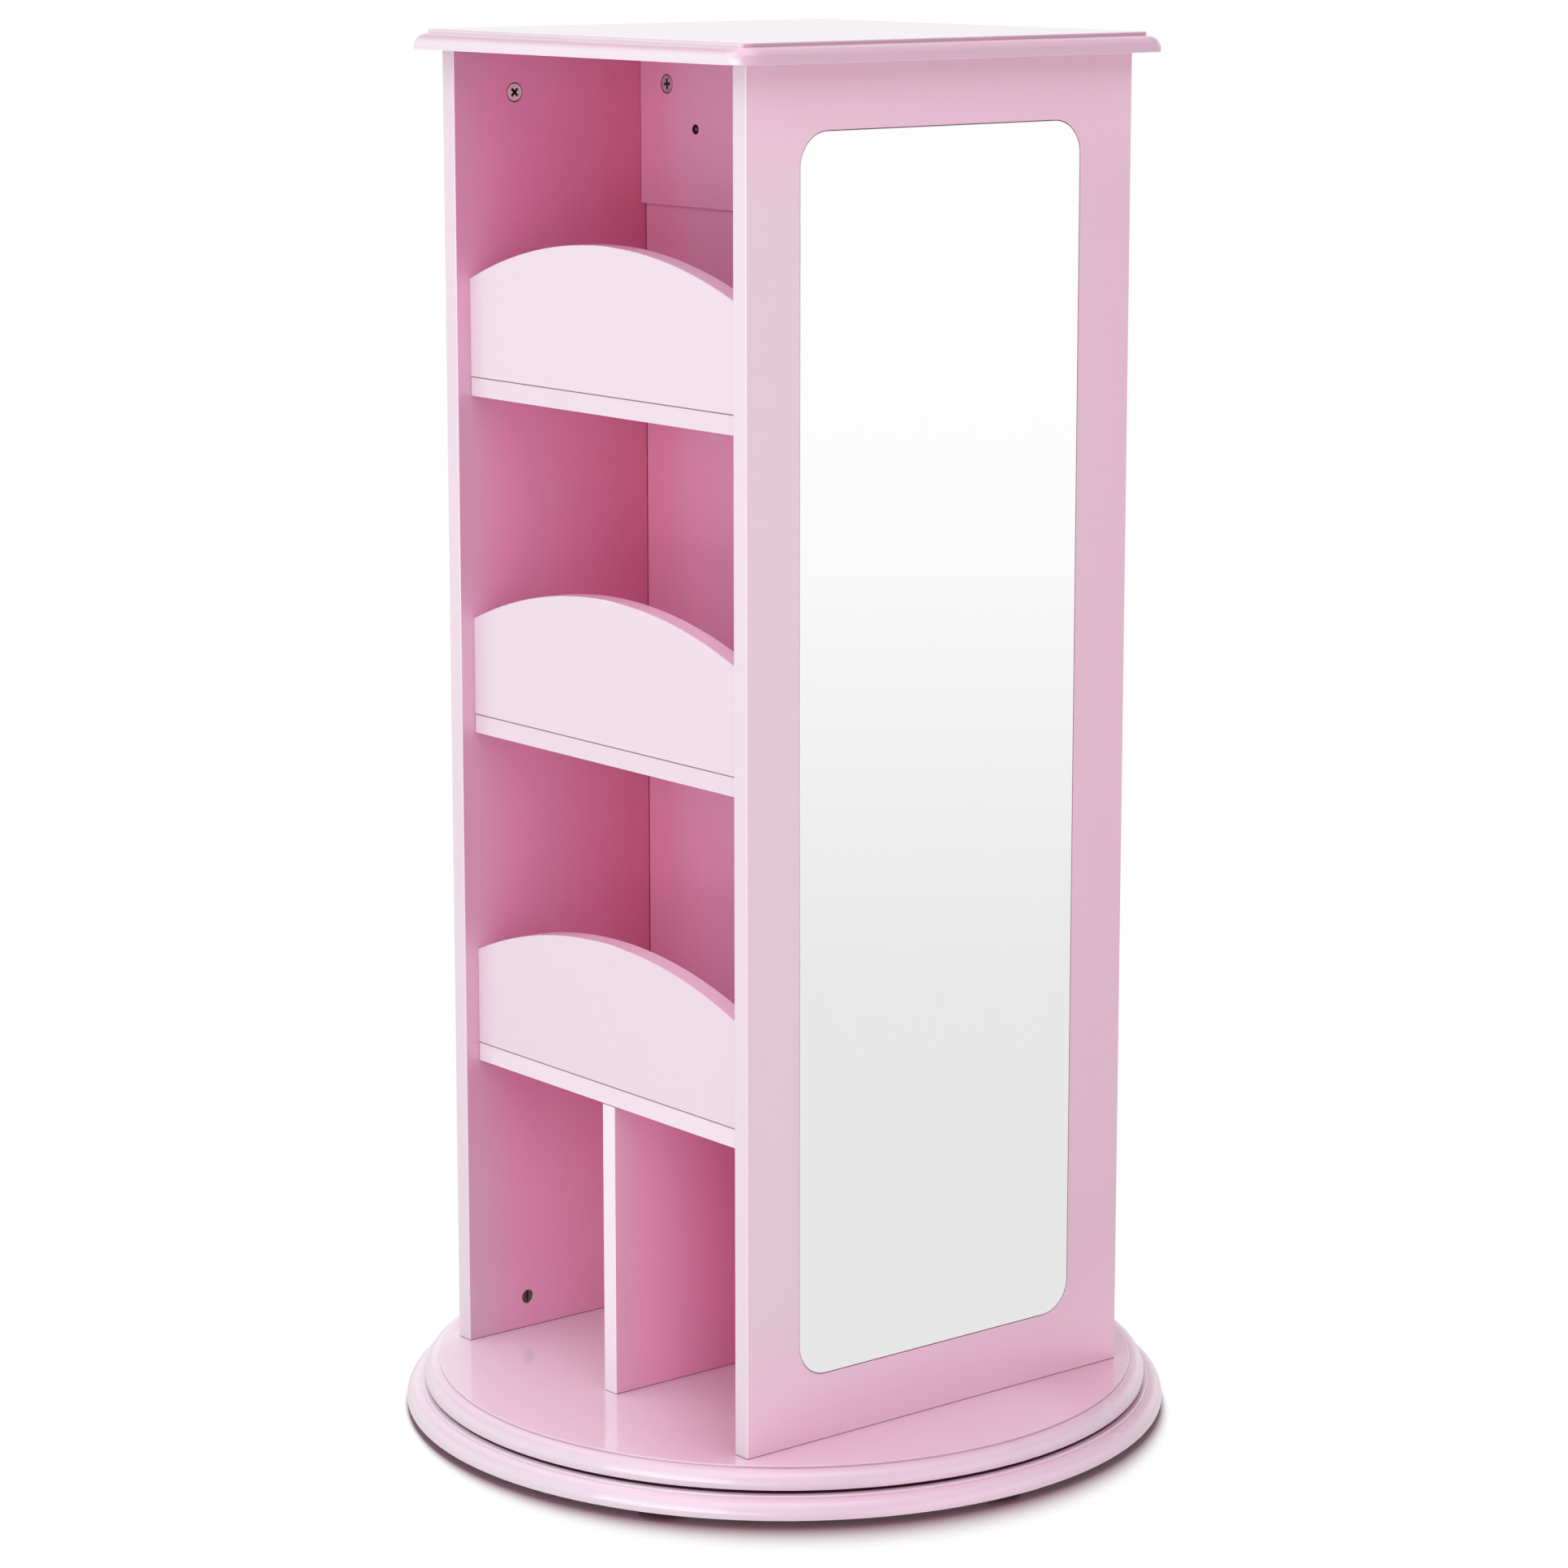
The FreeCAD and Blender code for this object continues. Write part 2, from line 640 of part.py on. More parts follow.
def upper_disc():
    disc = moulded_disc(UPPER_DISC_R, UPPER_DISC_Z)
    pocket = ring(RING_POCKET_INNER_R, RING_POCKET_OUTER_R, UPPER_DISC_Z - 1, OUTER_RING_TOP_Z)
    return drilled(disc.cut(pocket))


def glides():
    """Round plastic feet with rounded rims."""
    feet = []
    for place in glide_places():
        foot = rod(GLIDE_R, place, Z_AXIS, GLIDE_HEIGHT)
        foot = soften(foot, RIM_ROUND, "z", 0)
        bore = rod(COUNTERSUNK_HEAD_R + 1, place, Z_AXIS, GLIDE_SINK)
        feet.append(drilled(foot.cut(bore)))
    return Part.Compound(feet)


def raceway():
    """Round groove for the balls, cut from both rings."""
    return Part.makeTorus(BALL_CIRCLE_R, BALL_R + RACE_PLAY, point(0, 0, RING_MIDDLE_Z))


def inner_ring():
    outer_r = BALL_CIRCLE_R - RING_STANDOFF
    foot = INNER_RING_FOOT_Z
    body = ring(outer_r - RING_WIDTH, outer_r, foot, foot + RING_HEIGHT)
    return drilled(body.cut(raceway()))


def outer_ring():
    inner_r = BALL_CIRCLE_R + RING_STANDOFF
    top = OUTER_RING_TOP_Z
    body = ring(inner_r, inner_r + RING_WIDTH, top - RING_HEIGHT, top)
    return drilled(body.cut(raceway()))


def ball_places():
    return [
        on_circle(BALL_CIRCLE_R, 360 * turn / BALL_COUNT, RING_MIDDLE_Z)
        for turn in range(BALL_COUNT)
    ]


def balls():
    return Part.Compound([Part.makeSphere(BALL_R, place) for place in ball_places()])


def ball_cage():
    """Plastic ring that keeps the balls apart."""
    inner_r = BALL_CIRCLE_R - CAGE_THICKNESS / 2
    half = CAGE_HEIGHT / 2
    body = ring(inner_r, inner_r + CAGE_THICKNESS, RING_MIDDLE_Z - half, RING_MIDDLE_Z + half)
    windows = []
    for place in ball_places():
        outward = point(place.x, place.y, 0).normalize()
        windows.append(rod(BALL_R + RACE_PLAY, place - outward * half, outward, CAGE_HEIGHT))
    return body.cut(windows)


def back_void():
    """Groove in the side panels and the cross rail that holds the thin back panel."""
    half = THIN_BOARD / 2 + BACK_PLAY
    reach = INNER_X + BACK_GROOVE
    return block((-reach, reach), (-half, half), (FLOOR_Z, RAIL_BOTTOM_Z + BACK_GROOVE))


def back_panel():
    half = THIN_BOARD / 2
    reach = INNER_X + BACK_GROOVE - BACK_PLAY
    top = RAIL_BOTTOM_Z + BACK_GROOVE - BACK_PLAY
    return block((-reach, reach), (-half, half), (FLOOR_Z, top))


def side_panel(side):
    """Side panel on the -X side (side -1) or the +X side (side 1)."""
    inner, outer = sorted((side * INNER_X, side * CABINET_WIDTH / 2))
    half = PANEL_WIDTH / 2
    panel = block((inner, outer), (-half, half), (FLOOR_Z, SLAB_Z))
    panel = soften(panel, PANEL_ARRIS, "y", -half)
    panel = soften(panel, PANEL_ARRIS, "y", half)
    return drilled(panel.cut(back_void()))


def mirror_outline_prism(play, x_low, x_high):
    """Upright board of the mirror's outline, made larger all round by play."""
    y_low = FRONT_Y + MIRROR_FRONT_MARGIN - play
    y_high = FRONT_Y + MIRROR_FRONT_MARGIN + MIRROR_WIDTH + play
    z_low = FLOOR_Z + MIRROR_FOOT_MARGIN - play
    z_high = FLOOR_Z + MIRROR_FOOT_MARGIN + MIRROR_HEIGHT + play
    prism = block((x_low, x_high), (y_low, y_high), (z_low, z_high))
    corners = [edge for edge in prism.Edges if abs(edge.Length - (x_high - x_low)) < SAME]
    return prism.makeFillet(MIRROR_CORNER_R + play, corners)


def mirror_panel():
    """Side panel with the shallow recess that the mirror lies in."""
    floor_x = CABINET_WIDTH / 2 - MIRROR_GLASS - TAPE_THICKNESS
    recess = mirror_outline_prism(MIRROR_PLAY, floor_x, CABINET_WIDTH / 2 + 1)
    return side_panel(1).cut(recess)


def mirror():
    face_x = CABINET_WIDTH / 2
    return mirror_outline_prism(0, face_x - MIRROR_GLASS, face_x)


def mirror_tape():
    """Upright strips of foam tape between the mirror and the floor of its recess."""
    back_x = CABINET_WIDTH / 2 - MIRROR_GLASS
    z_low = FLOOR_Z + MIRROR_FOOT_MARGIN + TAPE_END_GAP
    z_high = FLOOR_Z + MIRROR_FOOT_MARGIN + MIRROR_HEIGHT - TAPE_END_GAP
    step = MIRROR_WIDTH / TAPE_STRIPS
    strips = []
    for number in range(TAPE_STRIPS):
        middle = FRONT_Y + MIRROR_FRONT_MARGIN + step * (number + 0.5)
        y_range = (middle - TAPE_WIDTH / 2, middle + TAPE_WIDTH / 2)
        strips.append(block((back_x - TAPE_THICKNESS, back_x), y_range, (z_low, z_high)))
    return Part.Compound(strips)


def top_slab():
    """Square top with rounded corners and the stepped quarter-round edge."""

    def blank(inset, z_low, z_high):
        half = SLAB_WIDTH / 2 - inset
        prism = block((-half, half), (-half, half), (z_low, z_high))
        corners = [edge for edge in prism.Edges if abs(edge.Length - (z_high - z_low)) < SAME]
        return prism.makeFillet(SLAB_CORNER_R - inset, corners)

    return drilled(moulded(blank, SLAB_Z, SLAB_STEP))


def cross_rail():
    """Rail under the top slab that ties the side panels and carries the pegs."""
    half = BOARD / 2
    rail = block((-INNER_X, INNER_X), (-half, half), (RAIL_BOTTOM_Z, SLAB_Z))
    rail = soften(rail, ARRIS, "z", RAIL_BOTTOM_Z)
    return drilled(rail.cut(back_void()))


def shelf(top):
    board = block((-INNER_X, INNER_X), (SHELF_FRONT_Y, SHELF_BACK_Y), (top - BOARD, top))
    board = soften(board, ARRIS, "y", SHELF_FRONT_Y)
    return drilled(board)


def lip(shelf_top):
    """Front board that stands on a shelf, with its top edge in one low arch."""
    feet = [point(side * INNER_X, SHELF_FRONT_Y, shelf_top) for side in (-1, 1)]
    shoulders = [foot + point(0, 0, LIP_END_RISE) for foot in feet]
    crown = point(0, SHELF_FRONT_Y, shelf_top + LIP_MIDDLE_RISE)
    outline = [
        Part.LineSegment(feet[0], feet[1]),
        Part.LineSegment(feet[1], shoulders[1]),
        Part.Arc(shoulders[1], crown, shoulders[0]),
        Part.LineSegment(shoulders[0], feet[0]),
    ]
    face = Part.Face(Part.Wire([piece.toShape() for piece in outline]))
    board = face.extrude(point(0, BOARD, 0))
    board = soften(board, ARRIS, "y", SHELF_FRONT_Y)
    board = soften(board, ARRIS, "y", SHELF_FRONT_Y + BOARD)
    return drilled(board)


def cubby_divider():
    half = BOARD / 2
    z_range = (FLOOR_Z, SHELF_TOPS["lower"] - BOARD)
    board = block((-half, half), (SHELF_FRONT_Y, SHELF_BACK_Y), z_range)
    board = soften(board, ARRIS, "y", SHELF_FRONT_Y)
    return drilled(board)


def coat_peg(place):
    """Turned peg along +Y: a round foot, a waisted neck and a domed head."""
    dome_rise = PEG_LENGTH - PEG_RIM_END
    dome_r = (PEG_HEAD_R**2 + dome_rise**2) / (2 * dome_rise)
    half_angle = math.asin(PEG_HEAD_R / dome_r) / 2
    dome_middle = point(
        dome_r * math.sin(half_angle), 0, PEG_LENGTH - dome_r * (1 - math.cos(half_angle))
    )
    foot_rim = point(PEG_FOOT_R, 0, PEG_FOOT)
    neck_foot = point(PEG_FOOT_R - PEG_FOOT_STEP, 0, PEG_FOOT)
    waist = point(PEG_WAIST_R, 0, PEG_LENGTH * 0.36)
    head_start = point(PEG_HEAD_R, 0, PEG_RIM_START)
    head_end = point(PEG_HEAD_R, 0, PEG_RIM_END)
    tip = point(0, 0, PEG_LENGTH)
    outline = [
        Part.LineSegment(ORIGIN, point(PEG_FOOT_R, 0, 0)),
        Part.LineSegment(point(PEG_FOOT_R, 0, 0), foot_rim),
        Part.LineSegment(foot_rim, neck_foot),
        Part.Arc(neck_foot, waist, head_start),
        Part.LineSegment(head_start, head_end),
        Part.Arc(head_end, dome_middle, tip),
        Part.LineSegment(tip, ORIGIN),
    ]
    profile = Part.Face(Part.Wire([piece.toShape() for piece in outline]))
    peg = Part.Compound([profile.revolve(ORIGIN, Z_AXIS, 360)])
    return drilled(placed(peg, place, Y_AXIS, X_AXIS).Solids[0])


def locks(joints):
    return Part.Compound([joint.lock() for joint in joints])


def nuts(joints):
    return Part.Compound([joint.nut() for joint in joints])


def bolts(joints):
    return Part.Compound([joint.bolt() for joint in joints])


def pins(dowels):
    return Part.Compound([dowel.pin() for dowel in dowels])


def screws(group):
    return Part.Compound([screw.body() for screw in group])


def save(name, shape):
    """Writes one node, as loose solids where it is a group."""
    solids = shape.Solids
    for solid in solids:
        if not solid.isValid():
            raise ValueError(f"{name} is not a valid solid")
    whole = solids[0] if len(solids) == 1 else Part.Compound(solids)
    whole.exportStep(f"parts/{name}.step")
    print(f"{name}: {len(solids)} solid(s), {whole.Volume / 1000:.1f} cm3")


def main():
    os.makedirs("parts", exist_ok=True)

    save("floor_glides", glides())
    save("glide_screws", screws(GLIDE_SCREWS))
    save("lower_disc", lower_disc())
    save("bearing_inner_ring", inner_ring())
    save("inner_ring_screws", screws(INNER_RING_SCREWS))

    save("ball_cage", ball_cage())
    save("bearing_balls", balls())

    save("bearing_outer_ring", outer_ring())
    save("outer_ring_screws", screws(OUTER_RING_SCREWS))
    save("upper_disc", upper_disc())

    save("plain_side_panel", side_panel(-1))
    save("mirror_side_panel", mirror_panel())
    save("mirror", mirror())
    save("mirror_tape", mirror_tape())
    save("top_slab", top_slab())
    save("cross_rail", cross_rail())
    save("back_panel", back_panel())
    save("cubby_divider", cubby_divider())
    for name, top in SHELF_TOPS.items():
        save(f"{name}_shelf", shelf(top))
        save(f"{name}_lip", lip(top))
    for name, place in zip(("left", "middle", "right"), peg_places()):
        save(f"coat_peg_{name}", coat_peg(place))

    for name, joints in (("top", TOP_CAMS), ("shelf", SHELF_CAMS), ("rail", RAIL_CAMS)):
        save(f"{name}_cam_locks", locks(joints))
        save(f"{name}_cam_bolts", bolts(joints))
    save("foot_barrel_nuts", nuts(FOOT_NUTS))
    save("foot_bolts", bolts(FOOT_NUTS))
    for name, dowels in (
        ("top", TOP_DOWELS), ("foot", FOOT_DOWELS), ("shelf", SHELF_DOWELS),
        ("rail", RAIL_DOWELS), ("lip", LIP_DOWELS), ("divider", DIVIDER_DOWELS),
    ):
        save(f"{name}_dowels", pins(dowels))
    save("lip_screws", screws(LIP_SCREWS))
    save("divider_screws", screws(DIVIDER_SCREWS))
    save("peg_screws", screws(PEG_SCREWS))


main()
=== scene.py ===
"""Looks of the revolving wardrobe cabinet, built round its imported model.

Lengths are in metres, Z is up and the turning axis stands on the origin. The shelf side faces -Y,
the mirror side +X, the hanging side +Y and the plain side -X.
"""
from __future__ import annotations

import logging
import math
from dataclasses import dataclass, replace
from enum import Enum
from functools import partialmethod
from typing import Any, Callable, Iterable, Sequence, Union

import bmesh
import bpy
from mathutils import Matrix, Vector


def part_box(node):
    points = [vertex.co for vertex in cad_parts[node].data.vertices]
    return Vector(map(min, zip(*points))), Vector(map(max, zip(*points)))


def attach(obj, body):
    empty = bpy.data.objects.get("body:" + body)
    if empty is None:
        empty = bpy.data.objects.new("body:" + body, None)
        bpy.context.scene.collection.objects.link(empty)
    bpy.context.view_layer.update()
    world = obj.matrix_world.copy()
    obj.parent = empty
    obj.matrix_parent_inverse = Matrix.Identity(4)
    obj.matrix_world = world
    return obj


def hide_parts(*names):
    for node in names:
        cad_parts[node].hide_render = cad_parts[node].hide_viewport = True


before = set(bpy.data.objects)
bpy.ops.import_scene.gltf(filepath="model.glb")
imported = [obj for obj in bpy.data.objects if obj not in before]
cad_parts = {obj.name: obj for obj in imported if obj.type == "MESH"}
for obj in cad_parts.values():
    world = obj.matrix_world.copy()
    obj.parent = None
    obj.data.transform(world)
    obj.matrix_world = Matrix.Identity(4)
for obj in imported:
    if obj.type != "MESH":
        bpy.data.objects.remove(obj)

LOG = logging.getLogger("wardrobe")
MM = 0.001
WHITE = (1.0, 1.0, 1.0)
X, Y, Z = Vector((1, 0, 0)), Vector((0, 1, 0)), Vector((0, 0, 1))

Band = tuple[float, float]
Colour = tuple[float, float, float]
Profile = Sequence[Band]
Place = tuple[Sequence[float], Vector, Vector]
Node, Socket = bpy.types.Node, bpy.types.NodeSocket


class Body(Enum):
    """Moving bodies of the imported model."""

    BASE = "base"
    CABINET = "cabinet"


class Slot(Enum):
    """Material slots of the record."""

    MIRROR = "mirror_silver"
    BEECH = "beech_wood"
    CAM = "cam_zinc"
    STEEL = "bright_steel"
    GLIDE = "glide_plastic"


# ---- shader expressions


class Level:
    """Float socket that takes part in Python expressions."""

    def __init__(self, graph: Graph, socket: Socket) -> None:
        """Keeps the graph that new nodes go to, and the socket."""
        self.graph, self.socket = graph, socket

    def maths(self, operation: str, other: Number = 0.0, turned: bool = False) -> Level:
        """Result of a Math node on the level and another number, or on these turned round."""
        first, second = (other, self) if turned else (self, other)
        return self.graph.level("Math", {"operation": operation}, {0: first, 1: second})

    def between(self, low: float, high: float) -> Level:
        """Smooth step from 0 at the low value to 1 at the high one."""
        sockets = {"Value": self, "From Min": low, "From Max": high}
        return self.graph.level("MapRange", {"interpolation_type": "SMOOTHSTEP"}, sockets)

    __add__ = __radd__ = partialmethod(maths, "ADD")
    __sub__ = partialmethod(maths, "SUBTRACT")
    __rsub__ = partialmethod(maths, "SUBTRACT", turned=True)
    __mul__ = __rmul__ = partialmethod(maths, "MULTIPLY")
    __truediv__ = partialmethod(maths, "DIVIDE")
    __pow__ = partialmethod(maths, "POWER")
    at_least = partialmethod(maths, "MAXIMUM")
    at_most = partialmethod(maths, "MINIMUM")
    size = partialmethod(maths, "ABSOLUTE")


Number = Union[Level, float, int]


class Graph:
    """Node tree of a material or of the world."""

    def __init__(self, tree: bpy.types.NodeTree) -> None:
        """Empties the tree."""
        self.tree = tree
        self.tree.nodes.clear()

    def node(
        self, kind: str, settings: dict[str, Any] | None = None,
        sockets: dict[Any, Any] | None = None,
    ) -> Node:
        """Adds a node.

        Args:
            kind: the node's type, without the word ShaderNode
            settings: properties, set before the sockets; "stops" gives a ramp's places and greys
            sockets: a value or a link for each input, by name or number; None leaves it alone

        Returns:
            The node.
        """
        node = self.tree.nodes.new(f"ShaderNode{kind}")
        for key, value in (settings or {}).items():
            if key == "stops":
                elements = node.color_ramp.elements
                for _ in value[2:]:
                    elements.new(0.5)
                for element, (place, grey) in zip(elements, value):
                    element.position, element.color = place, (grey, grey, grey, 1.0)
            else:
                setattr(node, key, value)
        for key, value in (sockets or {}).items():
            entry = node.inputs[key]
            value = value.socket if isinstance(value, Level) else value
            if isinstance(value, Socket):
                self.tree.links.new(value, entry)
            elif value is not None:
                entry.default_value = (*value, 1.0) if entry.type == "RGBA" else value
        return node

    def level(self, kind: str, settings: dict[str, Any], sockets: dict[Any, Any]) -> Level:
        """Adds a node and gives its first output as a level."""
        return Level(self, self.node(kind, settings, sockets).outputs[0])

    def coordinates(self, kind: str = "Object") -> Socket:
        """Texture coordinates of a kind."""
        return self.node("TexCoord").outputs[kind]

    def vector(self, operation: str, first: Any, second: Colour) -> Socket:
        """Result of one Vector Math node."""
        return self.node("VectorMath", {"operation": operation}, {0: first, 1: second}).outputs[0]

    def place(self, shift: float = 0.0, stretch: Colour = WHITE) -> Socket:
        """Coordinates on the piece, moved so that two pieces differ, then stretched."""
        moved = self.vector("ADD", self.coordinates(), (shift, shift * 0.7, shift * 1.3))
        return self.vector("MULTIPLY", moved, stretch)

    def axes(self, kind: str = "Object") -> list[Level]:
        """The three parts of the texture coordinates of a kind."""
        node = self.node("SeparateXYZ", {}, {0: self.coordinates(kind)})
        return [Level(self, output) for output in node.outputs]

    def outward(self) -> tuple[Level, Level]:
        """Distance from the turning axis times facing, along X and along Y."""
        (x, y, _), (facing_x, facing_y, _) = self.axes(), self.axes("Normal")
        return x * facing_x, y * facing_y

    def rays(self) -> tuple[Level, Level]:
        """Finds where a ray of light comes from.

        Returns:
            Whether it is seen by the camera, and whether it was mirrored or let through.
        """
        path, kinds = self.node("LightPath").outputs, ("Camera", "Glossy", "Transmission")
        camera, glossy, clear = (Level(self, path[f"Is {kind} Ray"]) for kind in kinds)
        return camera, glossy.at_least(clear)

    def reach(self) -> Level:
        """Distance from the turning axis."""
        x, y, _ = self.axes()
        return (x * x + y * y) ** 0.5

    def blend(self, share: Number, low: Any, high: Any, way: str = "MIX") -> Socket:
        """Mixes two colours or links by the share of the second one."""
        settings = {"data_type": "RGBA", "blend_type": way, "clamp_factor": True}
        return self.node("Mix", settings, {0: share, 6: low, 7: high}).outputs[2]

    def bump(self, height: Level, depth: float, under: Any = None) -> Socket:
        """Relief of a depth in metres, which may lie on another relief."""
        sockets = {"Height": height, "Distance": depth, "Strength": 1.0, "Normal": under}
        return self.node("Bump", {}, sockets).outputs[0]

    def mix(self, share: Number, low: Node, high: Node) -> Node:
        """Mixes two shaders by the share of the second one."""
        return self.node("MixShader", {}, {0: share, 1: low.outputs[0], 2: high.outputs[0]})

    def surface(self, shader: Node, kind: str = "Material") -> None:
        """Ends the tree in a shader."""
        self.node(f"Output{kind}", {}, {"Surface": shader.outputs[0]})

    def principled(self, sockets: dict[str, Any]) -> None:
        """Ends the tree in a Principled shader with the given sockets."""
        self.surface(self.node("BsdfPrincipled", {}, sockets))


# ---- finishes


class Weave(Enum):
    """Kinds of fine pattern: soft noise, open cells, or noise in rings about the turning axis."""

    NOISE = "noise"
    CELLS = "cells"
    RINGS = "rings"


@dataclass(frozen=True)
class Mottle:
    """Fine pattern in a finish, with its waves to a metre and its octaves."""

    scale: float
    detail: float = 3.0
    rough: float = 0.5
    stretch: Colour = WHITE
    weave: Weave = Weave.NOISE

    def level(self, graph: Graph, shift: float) -> Level:
        """Lays the pattern out.

        Args:
            graph: the material's nodes
            shift: distance by which it is moved

        Returns:
            Its value, from 0 to 1.
        """
        sockets = {"Vector": graph.place(shift, self.stretch), "Scale": self.scale}
        if self.weave is Weave.CELLS:
            return graph.level("TexVoronoi", {}, sockets)
        if self.weave is Weave.RINGS:
            rings = {0: graph.reach(), 1: graph.axes()[2] * self.stretch[2]}
            sockets["Vector"] = graph.node("CombineXYZ", {}, rings).outputs[0]
        sockets.update({"Detail": self.detail, "Roughness": self.rough})
        return graph.level("TexNoise", {}, sockets)


@dataclass(frozen=True)
class Finish:
    """Finish of a piece, made into one material and then shared."""

    name: str

    def material(self) -> bpy.types.Material:
        """Finds the material, or builds it under a name that no packed material has.

        Returns:
            The material.
        """
        name = f"{self.name}_finish"
        made = bpy.data.materials.get(name)
        if made is None:
            made = bpy.data.materials.new(name)
            made.use_nodes = True
            self.dress(Graph(made.node_tree))
        return made

    def dress(self, graph: Graph) -> None:
        """Lays out the nodes; each finish has its own."""
        raise NotImplementedError


@dataclass(frozen=True)
class Lacquer(Finish):
    """Sprayed pink lacquer on fine fibreboard; paler arrises are thin lacquer and painted
    highlight.

    A board of the cabinet has painted sheen, a paler coat, on the edges that face out along Y,
    and a paler coat inside the hanging bay. Its inside faces carry painted shade, deeper behind
    the shelves, with painted light at the mouths of the bays and in the middle of the back, and
    painted light and shade in bands of height. Its outer face has painted shade toward its back
    and toward both ends. Its joints with other boards are thin dark lines, each given by an axis
    number and a level along it.
    """

    colour: Colour = (0.82, 0.538, 0.667)
    # Painted shade on the outer face: deeper toward the back, and toward both ends near the slab
    # and disc.
    painted_back_shade: Colour = (0.77, 0.475, 0.61)
    painted_end_shade: Colour = (0.9, 0.545, 0.7)
    # Painted sheen: the paler tone on edges that face out along Y.
    painted_front_sheen: Colour | None = None
    # Painted shade: the deeper, redder tone of the inside faces.
    painted_inner_shade: Colour | None = None
    # Painted light at the mouth of a bay and painted shade deep inside it.
    painted_mouth_light: Colour = (0.74, 0.4, 0.57)
    painted_heart_shade: Colour = (0.86, 0.325, 0.53)
    # Painted light in the middle of the back and rail, with painted shade toward the corners.
    painted_middle_light: Colour | None = None
    bay_colour: Colour = (0.83, 0.49, 0.64)
    cloud_colour: Colour = (0.965, 0.955, 0.96)
    # Painted light and shade in bands of height, multiplied onto the inside.
    painted_height_shading: tuple[tuple[Band, Colour], ...] = ()
    outside: Band = (0.092, 0.115)
    run: Band = (-0.19, 0.19)
    ends: Band = (0.4, 0.515)
    middle_z: float = 0.55
    heart: Band = (0.0, 0.11)
    mouth: Band = (0.13, 0.185)
    middle: Band = (0.09, 0.16)
    bay: Band = (-0.001, 0.0015)
    box: tuple[Colour, ...] = ((-9.0, -9.0, -9.0), (9.0, 9.0, 9.0))
    arris: Band = (0.00021, 0.0007)
    # Paler arrises: thin lacquer and painted highlight.
    wear_and_highlight: float = 0.3
    joints: tuple[tuple[int, float], ...] = ()
    joint_width: float = 0.0018
    joint_tone: Colour = (0.36, 0.2, 0.26)
    upright: Band = (0.99, 0.9)
    roughness: float = 0.36
    coat: float = 0.9
    coat_roughness: float = 0.13
    ior: float = 1.5
    peel_depth: float = 0.000012
    wave_depth: float = 0.000084
    nib_size: Band = (0.02, 0.075)
    nib_patches: Band = (0.58, 0.66)
    patterns: tuple[Mottle, ...] = (
        Mottle(2.3, 2.0), Mottle(46.0, 4.0, 0.6), Mottle(95.0, weave=Weave.CELLS),
        Mottle(33.0, 1.0), Mottle(250.0, 2.0, 0.45), Mottle(21.0, 1.0, 0.4),
    )
    shift: float = 0.0

    def worn_and_highlit(self, graph: Graph) -> Level:
        """Share of thin rubbed lacquer and painted highlight along the edges of the board's box.

        Args:
            graph: the material's nodes

        Returns:
            0 on the faces and 1 on the arrises.
        """
        sides = zip(graph.axes(), *self.box)
        x, y, z = ((axis - low).size().at_most((high - axis).size()) for axis, low, high in sides)
        return 1.0 - x.at_most(y).at_least(x.at_least(y).at_most(z)).between(*self.arris)

    def joint_lines(self, graph: Graph) -> Number:
        """Share of shadow in the joints, on faces that don't look up or down.

        Args:
            graph: the material's nodes

        Returns:
            0 away from the joints and 1 in them.
        """
        axes, half, shade = graph.axes(), self.joint_width / 2, 0.0
        for axis, level in self.joints:
            near = (axes[axis] - level).size().between(half, half / 2)
            shade = near.at_least(shade)
        return shade * graph.axes("Normal")[2].size().between(*self.upright)

    def coats(self, graph: Graph) -> Any:
        """Colour of the coat on each side of the board, with its painted sheen, light and shade.

        Args:
            graph: the material's nodes

        Returns:
            A colour, or the socket of one.
        """
        if self.painted_inner_shade is None or self.painted_front_sheen is None:
            return self.colour
        along_x, along_y = graph.outward()
        x, y, z = graph.axes()
        # Painted shade toward the back of the outer face, then toward both ends.
        outer = graph.blend(y.between(*self.run), self.colour, self.painted_back_shade)
        outer = graph.blend((z - self.middle_z).size().between(*self.ends), outer, self.painted_end_shade)
        # Painted shade deep in the bay, painted light toward its mouth.
        inner = graph.blend(y.size().between(*self.heart), self.painted_heart_shade, self.painted_inner_shade)
        inner = graph.blend(y.size().between(*self.mouth), inner, self.painted_mouth_light)
        # Painted light in the middle, painted shade toward the corners.
        if self.painted_middle_light is not None:
            inner = graph.blend(x.size().between(*self.middle), self.painted_middle_light, inner)
        # Painted light and shade by height on the inside.
        for band, tint in self.painted_height_shading:
            inner = graph.blend(z.between(*band), inner, tint, "MULTIPLY")
        inner = graph.blend(y.between(*self.bay), inner, self.bay_colour)
        # Outer coat on the outside, painted shade on the inside faces.
        colour = graph.blend((along_x + along_y).between(*self.outside), inner, outer)
        # Painted sheen on the faces that look out along Y.
        return graph.blend(along_y.between(*self.outside), colour, self.painted_front_sheen)

    def dress(self, graph: Graph) -> None:
        """Tone in soft clouds, orange peel, fine nibs and a clear gloss on top.

        Args:
            graph: the material's nodes
        """
        cloud, mottle, nibs, patches, peel, wave = (
            pattern.level(graph, self.shift) for pattern in self.patterns
        )
        cloud, mottle = cloud - 0.5, mottle - 0.5
        tone = graph.blend(cloud * 0.55 + mottle * 0.35 + 0.5, self.cloud_colour, WHITE)
        edge = self.worn_and_highlit(graph)
        colour = graph.blend(1.0, self.coats(graph), tone, "MULTIPLY")
